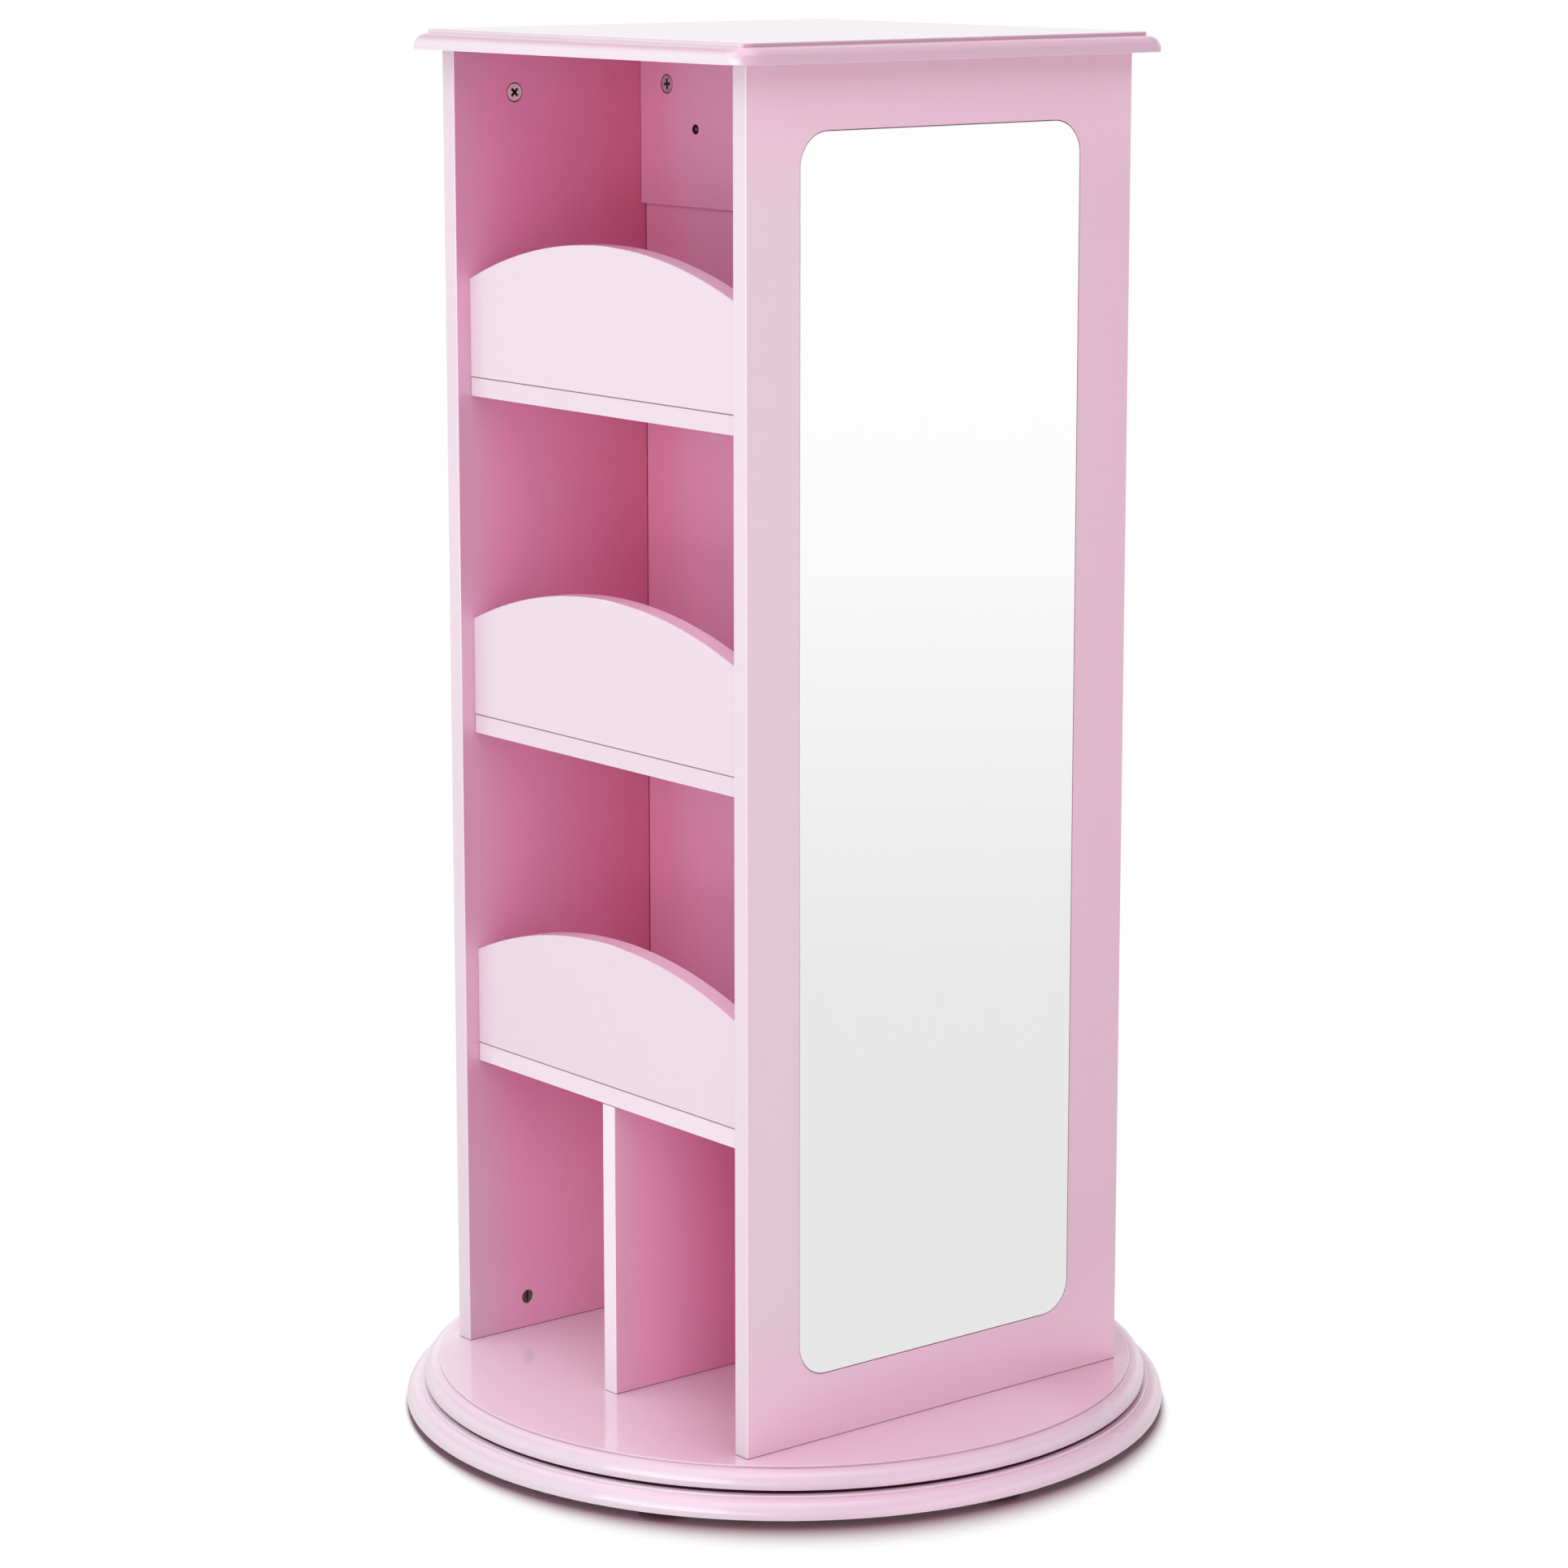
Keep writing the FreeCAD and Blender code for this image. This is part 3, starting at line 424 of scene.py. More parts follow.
        # Arrises paled toward white: thin lacquer and painted highlight.
        colour = graph.blend(edge * self.wear_and_highlight, colour, WHITE)
        colour = graph.blend(self.joint_lines(graph), colour, self.joint_tone, "MULTIPLY")
        nibs = (1.0 - nibs.between(*self.nib_size)) * patches.between(*self.nib_patches)
        wavy = graph.bump(wave, self.wave_depth)
        graph.principled({
            "Base Color": colour,
            "Roughness": mottle * 0.09 + cloud * 0.05 + self.roughness - edge * 0.04,
            "Normal": graph.bump(peel + nibs * 0.8, self.peel_depth, wavy),
            "Coat Weight": self.coat,
            "Coat Roughness": self.coat_roughness,
            "Coat IOR": self.ior,
            "IOR": self.ior,
        })


@dataclass(frozen=True)
class RoutedLacquer(Lacquer):
    """Routed-edge lacquer, with painted sheen round its rim and painted light and shade across its
    top.

    Its underside may be bare fibreboard, and its top as far as another board hides it carries
    painted shade.
    """

    # Painted light on the top at the front left, falling off to the right, and painted shade
    # behind.
    top: Colour = (0.765, 0.61, 0.705)
    painted_top_falloff: Colour = (0.675, 0.44, 0.555)
    painted_top_shade: Colour = (0.6, 0.35, 0.455)
    # Painted sheen on the rim where it faces out along X.
    painted_side_sheen: Colour = (0.79, 0.555, 0.685)
    turn: Band = (0.06, 0.24)
    side: Band = (0.2, 0.285)
    across: Band = (-0.2, 0.05)
    back: Band = (0.05, 0.13)
    upward: Band = (0.8, 0.98)
    downward: Band = (-0.6, -0.95)
    # The painted shade in the routed step may fade on the sides that face along Y.
    line_fade: float = 0.0
    bare_underside_and_gap_shade: bool = False
    hidden: Band = (0.2838, 0.2818)
    # Painted shade: dark plum on the top where the board above hides it, for the gap between them.
    painted_gap_shade: tuple[Colour, Colour] = ((0.11, 0.03, 0.055), (0.19, 0.075, 0.105))
    fibre: tuple[Colour, Colour] = ((0.36, 0.25, 0.17), (0.5, 0.38, 0.27))
    under: Mottle = Mottle(60.0, 5.0, 0.65)
    under_shift: float = 2.0

    def joint_lines(self, graph: Graph) -> Number:
        """Painted shade along the routed step or in joints; it may fade on sides that face along Y.
        """
        turned = graph.outward()[1].between(*self.turn)
        return (1.0 - turned * self.line_fade) * super().joint_lines(graph)

    def coats(self, graph: Graph) -> Any:
        """Lacquer with painted light and shade above and painted sheen at the sides; where it's
        hidden, painted shade or mottled fibreboard.

        Args:
            graph: the material's nodes

        Returns:
            The socket of the colour.
        """
        x, y, _ = graph.axes()
        up = graph.axes("Normal")[2]
        along_x, along_y = graph.outward()
        # Painted sheen on the rim: paler where it faces out along Y, then along X.
        colour = graph.blend(along_y.between(*self.turn), self.colour, self.painted_front_sheen)
        colour = graph.blend(along_x.between(*self.side), colour, self.painted_side_sheen)
        # Painted light and shade across the top, by place on it.
        top = graph.blend((x + y).between(*self.across), self.top, self.painted_top_falloff)
        top = graph.blend(y.between(*self.back), top, self.painted_top_shade)
        colour = graph.blend(up.between(*self.upward), colour, top)
        if not self.bare_underside_and_gap_shade:
            return colour
        # Painted shade where the board above hides the top.
        hidden = graph.reach().between(*self.hidden)
        mottle = self.under.level(graph, self.under_shift)
        colour = graph.blend(hidden, colour, graph.blend(mottle, *self.painted_gap_shade))
        return graph.blend(up.between(*self.downward), colour, graph.blend(mottle, *self.fibre))


@dataclass(frozen=True)
class SilveredGlass(Finish):
    """Face of the mirror: silver seen through clear glass."""

    tint: Colour = (0.985, 0.985, 0.985)
    haze_tint: Colour = (0.972, 0.975, 0.974)
    wipes: Mottle = Mottle(6.0, 3.0, 0.6, (1.0, 7.0, 1.6))
    wiped: Band = (0.45, 0.8)
    shift: float = 1.0

    def dress(self, graph: Graph) -> None:
        """A bright mirror with the faintest haze where it has been wiped.

        Args:
            graph: the material's nodes
        """
        haze = self.wipes.level(graph, self.shift).between(*self.wiped)
        colour = graph.blend(haze * 0.35, self.tint, self.haze_tint)
        graph.principled({"Base Color": colour, "Metallic": 1.0, "Roughness": haze * 0.008 + 0.004})


@dataclass(frozen=True)
class Plain(Finish):
    """Finish that wanders between two tones under a fine skin, which roughens it."""

    low: Colour
    high: Colour
    tone: Mottle
    roughness: float
    skin: Mottle | None = None
    gain: float = 0.0
    metal: float = 0.0
    metal_fade: float = 0.0
    relief: float = 0.0
    shift: float = 0.0
    band: Band | None = None
    flecks: Colour | None = None
    fleck: Mottle = Mottle(2400.0, 1.0, stretch=(1.0, 1.0, 0.3))
    fleck_size: Band = (0.62, 0.75)

    def dress(self, graph: Graph) -> None:
        """Lays the tone, any short flecks, the skin and its relief.

        Args:
            graph: the material's nodes
        """
        tone = self.tone.level(graph, self.shift)
        skin = self.skin.level(graph, self.shift) if self.skin else tone
        colour = graph.blend(tone.between(*self.band) if self.band else tone, self.low, self.high)
        if self.flecks:
            spots = self.fleck.level(graph, self.shift).between(*self.fleck_size)
            colour = graph.blend(spots * 0.5, colour, self.flecks)
        graph.principled({
            "Base Color": colour,
            "Metallic": self.metal - tone * self.metal_fade if self.metal_fade else self.metal,
            "Roughness": self.roughness + skin * self.gain if self.gain else self.roughness,
            "Normal": graph.bump(skin, self.relief) if self.relief else None,
        })


# Painted sheen on edges facing along Y, painted shade on the inside faces.
PINK = Lacquer(
    "lacquer", colour=(0.8, 0.57, 0.68), painted_front_sheen=(0.685, 0.57, 0.64),
    painted_inner_shade=(0.905, 0.365, 0.585),
)
# The lips' inside gets one tone with less painted shade.
LIP_PINK = replace(
    PINK, painted_inner_shade=(0.83, 0.55, 0.7), painted_mouth_light=(0.83, 0.55, 0.7), joint_width=0.0011,
    joint_tone=(0.56, 0.47, 0.48),
)
# Painted light in the middle of the back and rail.
BACK_PINK = replace(PINK, painted_middle_light=(0.85, 0.43, 0.635))
# Stronger painted sheen on the lower shelf's front.
SHELF_PINK = replace(PINK, painted_front_sheen=(0.74, 0.63, 0.7))
# Stronger painted sheen on the divider's front; its sides carry painted light toward the front and
# deeper painted shade at the back.
DIVIDER_PINK = replace(
    PINK, painted_front_sheen=(0.79, 0.7, 0.765), painted_heart_shade=(0.62, 0.1, 0.22), heart=(0.0, 0.15),
    painted_inner_shade=(1.0, 0.47, 0.72), painted_mouth_light=(0.88, 0.52, 0.68),
)
# Painted shade deep in the side panels' bays, with painted light and shade in bands of height.
SIDE_PINK = replace(
    PINK, painted_heart_shade=(0.87, 0.275, 0.455),
    painted_height_shading=(((0.8, 0.9), (1.06, 0.86, 0.94)), ((0.26, 0.14), (1.01, 1.2, 1.1))),
)
# Painted sheen on the front of the rims; the joint at 37.8 mm is painted shade in the upper disc's
# routed step.
ROUTED = RoutedLacquer(
    "lacquer_routed", colour=(0.67, 0.485, 0.595), painted_front_sheen=(0.637, 0.54, 0.605),
    roughness=0.3, coat=1.0, coat_roughness=0.06, shift=0.4, joints=((2, 0.0378),),
    joint_tone=(0.72, 0.58, 0.64),
)
SLAB_TOP = (0.7, 0.5, 0.6)
# Painted sheen on the slab's front rim, and one top colour with no painted falloff; the joint at
# 1075.8 mm is painted shade in the routed step, faded on the sides that face along Y.
SLAB = replace(
    ROUTED, colour=(0.62, 0.395, 0.5), painted_front_sheen=(0.68, 0.595, 0.645), top=SLAB_TOP,
    painted_top_falloff=SLAB_TOP, painted_top_shade=SLAB_TOP, turn=(0.12, 0.19), line_fade=1.0, joints=((2, 1.0758),),
    joint_width=0.0026, joint_tone=(0.88, 0.74, 0.79),
)
STEEL = Plain(
    "plated_steel", (0.62, 0.62, 0.64), (0.7006, 0.6696, 0.6016), Mottle(320.0), 0.18,
    Mottle(2600.0, 2.0), 0.12, metal=1.0, relief=0.000006, shift=0.3,
)
BALL_STEEL = replace(
    STEEL, name="ball_steel", low=(0.6, 0.61, 0.64), high=(0.678, 0.6588, 0.6016), roughness=0.04
)
PEG_STEEL = replace(
    STEEL, name="dark_steel", low=(0.06, 0.03, 0.04), high=(0.0678, 0.0324, 0.0376), roughness=0.28
)
# Painted shade: near-black metal on the faces of recesses, grooves, slots and sockets, which are
# only shaded.
RECESS_SHADE = Plain(
    "recess_painted_shade", (0.05, 0.045, 0.045), (0.16, 0.14, 0.14), Mottle(1500.0), 0.42, gain=0.2,
    metal=0.8, band=(0.5, 0.75),
)
# Painted reflection: the pink in the zinc's tones stands in for the lacquer round the locks.
ZINC = Plain(
    "cam_zinc", (0.78, 0.58, 0.6), (0.95, 0.74, 0.74), Mottle(240.0, 4.0, 0.6), 0.3,
    Mottle(1900.0, 3.0, 0.6), 0.22, metal=0.3, metal_fade=0.2, relief=0.00002, shift=0.5,
    band=(0.3, 0.7),
)
# Painted shade: a darker copy of the zinc for the rail's locks, which sit in the bay.
SHADED_ZINC = replace(ZINC, name="shaded_zinc", low=(0.4, 0.25, 0.29), high=(0.58, 0.38, 0.41))
BROWNED = replace(ZINC, name="browned_steel", low=(0.07, 0.05, 0.045), high=(0.17, 0.13, 0.1))
ALUMINIUM = Plain(
    "turned_aluminium", (0.72, 0.73, 0.75), (0.6, 0.61, 0.63),
    Mottle(2400.0, 3.0, 0.6, (1.0, 1.0, 0.2), Weave.RINGS), 0.22, gain=0.2, metal=1.0,
    relief=0.000012,
)
PLASTIC = Plain(
    "glide_plastic", (0.0484, 0.044, 0.044), (0.055, 0.05, 0.05),
    Mottle(40.0, 2.0, stretch=(1.0, 1.0, 3.0)), 0.345, Mottle(1400.0, 3.0, 0.6), 0.15,
    relief=0.00002,
)
CAGE_PLASTIC = replace(
    PLASTIC, name="cage_plastic", low=(0.704, 0.6952, 0.6512), high=(0.8, 0.79, 0.74),
    roughness=0.285,
)
FELT = Plain(
    "glide_felt", (0.11, 0.1, 0.1), (0.24, 0.23, 0.22), Mottle(1300.0, 6.0, 0.75), 0.95,
    relief=0.00025,
)
FOAM = Plain(
    "foam_tape", (0.602, 0.602, 0.588), (0.86, 0.86, 0.84), Mottle(2200.0, weave=Weave.CELLS),
    0.85, relief=0.00012,
)
GLASS_EDGE = Plain(
    "mirror_edge", (0.74, 0.76, 0.75), (0.86, 0.88, 0.87), Mottle(14.0, 2.0), 0.16,
    Mottle(420.0, 3.0, 0.6, (9.0, 1.0, 1.0)), 0.14, metal=0.35, relief=0.00001,
)
BACK_PAINT = Plain(
    "mirror_back", (0.2, 0.22, 0.23), (0.25, 0.27, 0.28), Mottle(30.0, 2.0), 0.6, Mottle(700.0),
    relief=0.00002,
)
BEECH = Plain(
    "beech", (0.62, 0.42, 0.25), (0.74, 0.56, 0.38), Mottle(900.0, 4.0, 0.6, (1.0, 1.0, 0.12)),
    0.68, relief=0.00005, flecks=(0.42, 0.25, 0.13),
)


# ---- making of pieces


def polar(radius: float, angle: float, height: float) -> Vector:
    """Point at an angle round the Z axis."""
    return Vector((radius * math.cos(angle), radius * math.sin(angle), height))


def ring(count: int, radius: float, height: float, start: float = 0.0) -> list[Vector]:
    """Points spaced evenly round the Z axis, from a start angle in degrees."""
    return [polar(radius, math.radians(start + 360.0 * n / count), height) for n in range(count)]


def spread(
    xs: Iterable[float], ys: Iterable[float], zs: Iterable[float], way: Vector | None = None,
    across: Vector = X,
) -> list[Place]:
    """Places with every choice of coordinates, which look one way, or outward along X."""
    ways = {x: way or (X if x > 0 else -X) for x in xs}
    return [(Vector((x, y, z)), ways[x], across) for z in zs for x in xs for y in ys]


def put(name: str, data: Any) -> bpy.types.Object:
    """Puts an object with its mesh, lamp or camera into the scene."""
    bpy.context.scene.collection.objects.link(made := bpy.data.objects.new(name, data))
    return made


class Workpiece:
    """Mesh under construction, drawn in millimetres."""

    def __init__(self, name: str = "pattern") -> None:
        """Starts an empty mesh."""
        self.name, self.mesh = name, bmesh.new()

    def skin(
        self, rows: Sequence[Sequence[Vector]], slot: int = 0, caps: bool = True
    ) -> Workpiece:
        """Joins rows of points that go round by faces.

        Args:
            rows: rows with the same number of points
            slot: finish of the faces
            caps: whether the first and last rows are filled

        Returns:
            This workpiece.
        """
        lines = [[self.mesh.verts.new(point * MM) for point in row] for row in rows]
        faces = [
            (low[here], low[there], high[there], high[here])
            for low, high in zip(lines, lines[1:])
            for here, there in zip(range(len(low)), (*range(1, len(low)), 0))
        ]
        for corners in (*faces, *((lines[0], lines[-1]) if caps else ())):
            self.mesh.faces.new(corners).material_index = slot
        return self

    def turn(
        self, profile: Profile, sides: int, shape: Callable[..., float] | None = None, slot: int = 0
    ) -> Workpiece:
        """Turns a profile about the Z axis.

        Args:
            profile: radius and height of each point
            sides: faces round the turning
            shape: gives a radius from the plain radius, the angle and the height
            slot: finish of the faces

        Returns:
            This workpiece.
        """
        angles = [2 * math.pi * side / sides for side in range(sides)]
        rows = [[polar(shape(r, a, z) if shape else r, a, z) for a in angles] for r, z in profile]
        self.skin(rows, slot, caps=False)
        bmesh.ops.remove_doubles(self.mesh, verts=self.mesh.verts[:], dist=1e-7)
        return self

    def stamp(self, pattern: Workpiece, places: Iterable[Place]) -> Workpiece:
        """Adds a copy of a pattern at each place.

        Args:
            pattern: finished pattern
            places: origin, way of the Z axis and way of the X axis of each copy

        Returns:
            This workpiece.
        """
        kept = bpy.data.meshes.new("pattern")
        pattern.mesh.to_mesh(kept)
        for origin, z_way, x_way in places:
            columns = (x_way, z_way.cross(x_way), z_way, Vector(origin) * MM)
            before = len(self.mesh.verts)
            self.mesh.from_mesh(kept)
            self.mesh.verts.ensure_lookup_table()
            place = Matrix((*zip(*columns), (0.0, 0.0, 0.0, 1.0)))
            bmesh.ops.transform(self.mesh, matrix=place, verts=self.mesh.verts[before:])
        bpy.data.meshes.remove(kept)
        return self

    def bare_object(self) -> bpy.types.Object:
        """Turns all faces outward and makes an object with no finish yet.

        Returns:
            The object.
        """
        bmesh.ops.recalc_face_normals(self.mesh, faces=self.mesh.faces[:])
        data = bpy.data.meshes.new(self.name)
        self.mesh.to_mesh(data)
        return put(self.name, data)

    def carve(self, tool: Workpiece, place: Matrix = Matrix.Identity(4)) -> Workpiece:
        """Takes another workpiece's solid out of this one.

        Args:
            tool: the solid
            place: where it is moved to first

        Returns:
            This workpiece.
        """
        bmesh.ops.transform(tool.mesh, matrix=place, verts=tool.mesh.verts[:])
        own, cutter = self.bare_object(), tool.bare_object()
        cutting = own.modifiers.new("carve", "BOOLEAN")
        cutting.operation, cutting.solver, cutting.object = "DIFFERENCE", "EXACT", cutter
        state = bpy.context.evaluated_depsgraph_get()
        carved = bpy.data.meshes.new_from_object(own.evaluated_get(state))
        self.mesh.clear()
        self.mesh.from_mesh(carved)
        for mesh in (own.data, cutter.data, carved):
            bpy.data.meshes.remove(mesh)
        return self

    def deliver(
        self, node: str, finishes: Sequence[Finish], slot: Slot, body: Body, crease: float = 32.0
    ) -> None:
        """Makes the finished piece.

        Args:
            node: node that it replaces
            finishes: finish of each material number
            slot: not used
            body: body that it rides on
            crease: angle in degrees from which an edge is sharp
        """
        made = self.bare_object()
        for finish in finishes:
            made.data.materials.append(finish.material())
        made.data.shade_smooth()
        made.data.set_sharp_from_angle(angle=math.radians(crease))
        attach(made, body.value)
        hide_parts(node)
        LOG.info("%s: %d faces, rides on %s", self.name, len(made.data.polygons), body.value)

    def repeat(
        self, node: str, places: Iterable[Place], finishes: Sequence[Finish],
        slot: Slot = Slot.STEEL, body: Body = Body.CABINET,
    ) -> None:
        """Makes the piece that replaces a node from copies of this pattern."""
        Workpiece(f"{node}_seen").stamp(self, places).deliver(node, finishes, slot, body)


def dress(node: str, *finishes: Finish) -> None:
    """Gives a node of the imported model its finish.

    Args:
        node: the node's name
        finishes: finish of each of its material slots; the last one fills the rest
    """
    for number, entry in enumerate(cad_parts[node].material_slots):
        entry.material = finishes[min(number, len(finishes) - 1)].material()
    LOG.info("%s: dressed with %s", node, finishes[0].name)


# ---- fastener patterns


class Recess(Enum):
    """Sizes of a cross recess: length and width at the face, length and width below, depth."""

    SCREW = (4.2, 1.1, 1.7, 0.7, 1.7)
    CAM = (8.0, 2.1, 5.0, 1.3, 2.4)

    def tool(self, turned: float = 45.0, over: float = 0.3) -> Workpiece:
        """Cutter that narrows downward from a face at height 0.

        Args:
            turned: angle in degrees by which the cross is turned
            over: height of the cutter above the face

        Returns:
            The cutter.
        """
        length, width, low_length, low_width, depth = self.value
        slope = over / depth
        arms = [Matrix.Rotation(math.radians(turned + 90.0 * n), 3, "Z") for n in range(4)]
        rows = []
        for reach, half, height in (
            (low_length / 2, low_width / 2, -depth),
            ((length + slope * (length - low_length)) / 2,
             (width + slope * (width - low_width)) / 2, over),
        ):
            arm_end = [Vector((reach, -half, height)), Vector((reach, half, height))]
            corners = (*arm_end, Vector((half, half, height)))
            rows.append([arm @ corner for arm in arms for corner in corners])
        return Workpiece().skin(rows, slot=1)


@dataclass(frozen=True)
class ThreadedShank:
    """Thread cut round a shank, from one height to another."""

    crest: float
    core: float
    pitch: float
    start: float
    end: float
    flank: float = 0.34
    steps: int = 6

    def radius(self, plain: float, angle: float, height: float) -> float:
        """Radius of the threaded shank.

        Args:
            plain: radius without the thread
            angle: angle round the shank
            height: height along it, in millimetres

        Returns:
            The radius, in millimetres.
        """
        if not self.start - 1e-6 <= height <= self.end + 1e-6 or plain > self.crest:
            return plain
        turn = (height / self.pitch - angle / (2 * math.pi)) % 1.0
        ridge = max(0.0, 1.0 - abs(turn - 0.5) / self.flank)
        fade = min(1.0, (height - self.start) / self.pitch, (self.end - height) / self.pitch)
        cut = self.core + (self.crest - self.core) * ridge * max(0.0, fade)
        return cut * plain / self.crest

    def points(self) -> Profile:
        """Points of the profile along which the thread is drawn."""
        count = max(2, int((self.end - self.start) / self.pitch * self.steps))
        return [
            (self.crest, self.start + (self.end - self.start) * n / count) for n in range(count + 1)
        ]


@dataclass(frozen=True)
class WoodScrew:
    """Cross-recess wood screw with its head's face at height 0, driven along +Z."""

    length: float
    domed: bool = False
    dome_r: float = 4.0
    dome_rise: float = 2.2
    dome_steps: int = 10
    shank_r: float = 1.75
    core_r: float = 1.2
    pitch: float = 1.6
    tip: float = 3.0

    def pattern(self) -> Workpiece:
        """Turns the screw and sinks its recess.

        Returns:
            The pattern.
        """
        low, start = (-self.dome_rise, 2.0) if self.domed else (0.0, 3.35)
        if self.domed:
            ball = (self.dome_r**2 + low**2) / (2 * self.dome_rise)
            arc = math.asin(self.dome_r / ball) / self.dome_steps
            dome = [polar(ball, arc * step, 0.0) for step in range(1, self.dome_steps)]
            rim = ((4.0, -0.05), (3.9, 0.0))
            head = [(0.0, low), *((y, ball + low - x) for x, y, _ in dome), *rim]
        else:
            head = [(0.0, 0.0), (2.9, 0.0), (3.48, 0.02), (3.6, 0.16)]
        r, foot, end = self.shank_r, self.length - self.tip, self.length
        thread = ThreadedShank(r, self.core_r, self.pitch, start, foot)
        shank = [(r, 0.0 if self.domed else 1.85), *thread.points(), (r * 0.62, foot + 1.0)]
        screw = Workpiece().turn([*head, *shank, (0.15, end - 0.1), (0.0, end)], 24, thread.radius)
        place = Matrix.Translation((0, 0, low * MM)) @ Matrix.Rotation(math.pi, 4, "X")
        return screw.carve(Recess.SCREW.tool(), place)


@dataclass(frozen=True)
class CamLock:
    """Cam lock with its slotted face at height 0 and its bolt coming in along +X."""

    face: Profile = (
        (0.0, 0.0), (4.4, 0.0), (5.3, 0.0), (5.5, -0.22), (5.8, -0.22), (6.0, 0.0), (6.5, 0.0),
        (6.7, -0.15),
    )
    groove: Profile = ((6.7, -0.15), (6.75, -1.3), (7.4, -1.3), (7.5, -1.2))
    barrel: Profile = ((7.5, -1.2), (7.5, -2.0), (7.5, -11.6), (7.1, -12.0), (0.0, -12.0))
    arrow: Profile = ((0.75, 0.0), (-0.4, -0.75), (-0.4, 0.75))
    arrow_x: float = 4.6
    bolt_level: float = -7.2
    slot_half: float = 2.6
    slot_reach: Band = (3.2, 8.5)
    slot_sweep: Band = (-40.0, 110.0)
    slot_steps: int = 15
    turned: float = 45.0

    def pattern(self) -> Workpiece:
        """Turns the barrel, sinks the cross, cuts the bolt's way and adds the arrow.

        Returns:
            The pattern.
        """
        lock = Workpiece()
        for slot, profile in ((0, self.face), (1, self.groove), (0, self.barrel)):
            lock.turn(profile, 56, slot=slot)
        lock.carve(Recess.CAM.tool(self.turned)).carve(self.bolt_way())
        return lock.skin([
            [Vector((self.arrow_x + x * share, y * share, z)) for x, y in self.arrow]
            for share, z in ((1.0, -0.2), (0.7, 0.12))
        ])

    def bolt_way(self) -> Workpiece:
        """Cutter for the slot that the bolt's stem passes through.

        Returns:
            The cutter.
        """
        (near, far), (start, end), half = self.slot_reach, self.slot_sweep, self.slot_half
        corners = ((near, -half), (far, -half), (far, half), (near, half))
        rows = []
        for step in range(self.slot_steps + 1):
            angle = math.radians(start + (end - start) * step / self.slot_steps)
            rows.append([polar(reach, angle, self.bolt_level + rise) for reach, rise in corners])
        return Workpiece().skin(rows)


@dataclass(frozen=True)
class BarrelNut:
    """Slotted barrel nut with its end at height 0 and its bolt coming in along +X."""

    barrel: Profile = (
        (0.0, 0.0), (3.9, 0.0), (5.0, 0.0), (5.5, -0.5), (5.5, -11.0), (5.0, -11.5), (0.0, -11.5),
    )
    bore: Profile = ((0.0, -6.5), (3.0, -6.5), (3.0, 6.5), (0.0, 6.5))
    bore_level: float = -6.7
    saw: Profile = ((-6.5, -0.7), (6.5, -0.7), (6.5, 0.7), (-6.5, 0.7))
    saw_depth: float = 1.2

    def pattern(self) -> Workpiece:
        """Turns the barrel, drills its cross bore and saws its slot.

        Returns:
            The pattern.
        """
        saw = [[Vector((x, y, z)) for x, y in self.saw] for z in (-self.saw_depth, 1.0)]
        level = Matrix.Translation((0, 0, self.bore_level * MM))
        nut, bore = Workpiece().turn(self.barrel, 48), Workpiece().turn(self.bore, 32)
        nut.carve(bore, level @ Matrix.Rotation(math.pi / 2, 4, "Y"))
        return nut.carve(Workpiece().skin(saw, slot=1))


@dataclass(frozen=True)
class FootBolt:
    """Bolt of a barrel nut, with its head's flat end at height 0, driven along +Z."""

    head: Profile = (
        (0.0, 0.0), (4.1, 0.0), (4.7, 0.2), (5.0, 0.8), (5.0, 3.0), (3.0, 3.0), (3.0, 4.0),
    )
    thread: ThreadedShank = ThreadedShank(3.0, 2.5, 1.0, 22.7, 45.9)
    end: Profile = ((2.2, 46.7), (0.0, 46.7))
    socket_r: float = 2.3
    socket_depth: float = 2.0

    def pattern(self) -> Workpiece:
        """Turns the bolt with its thread and sinks its hexagon socket.

        Returns:
            The pattern.
        """
        profile = [*self.head, *self.thread.points(), *self.end]
        socket = [ring(6, self.socket_r, z) for z in (-1.0, self.socket_depth)]
        bolt = Workpiece().turn(profile, 24, self.thread.radius)
        return bolt.carve(Workpiece().skin(socket, slot=1))


@dataclass(frozen=True)
class CamBolt:
    """Bolt of a cam lock, screwed in along +Z from height 0."""

    setback: float
    thread: ThreadedShank = ThreadedShank(2.9, 2.2, 1.8, 0.3, 8.2)

    def pattern(self) -> Workpiece:
        """Turns the bolt: head, stem, collar and thread."""
        back = -self.setback
        return Workpiece().turn([
            (0.0, back - 1.5), (2.2, back - 1.5), (3.0, back - 1.1), (3.2, back - 0.4),
            (3.2, back + 0.7), (2.6, back + 1.5), (2.3, back + 1.6), (2.0, back + 3.0),
            (2.0, -4.4), (2.3, -3.4), (2.3, -2.0), (3.4, -2.0), (3.6, -1.8), (3.6, -0.2),
            (3.4, 0.0), (2.9, 0.0), *self.thread.points(), (2.4, 8.7), (1.6, 9.0), (0.0, 9.0),
        ], 24, self.thread.radius)


@dataclass(frozen=True)
class FlutedDowel:
    """Fluted dowel across a seam at height 0, reaching further below it than above."""

    radius: float = 4.0
    profile: Profile = (
        (0.0, -19.5), (3.0, -19.5), (4.0, -18.5), (4.0, -5.25), (4.0, 8.0), (3.0, 9.0), (0.0, 9.0),
    )
    flutes: int = 14
    flute_depth: float = 0.35

    def fluted(self, plain: float, angle: float, height: float) -> float:
        """Radius with the flutes cut in, shallower at the ends."""
        cut = 0.5 + 0.5 * math.cos(self.flutes * angle)
        return plain - self.flute_depth * cut**3 * plain / self.radius

    def pattern(self) -> Workpiece:
        """Turns the dowel with its flutes and chamfered ends."""
        return Workpiece().turn(self.profile, self.flutes * 5, self.fluted)


# ---- sub-assemblies


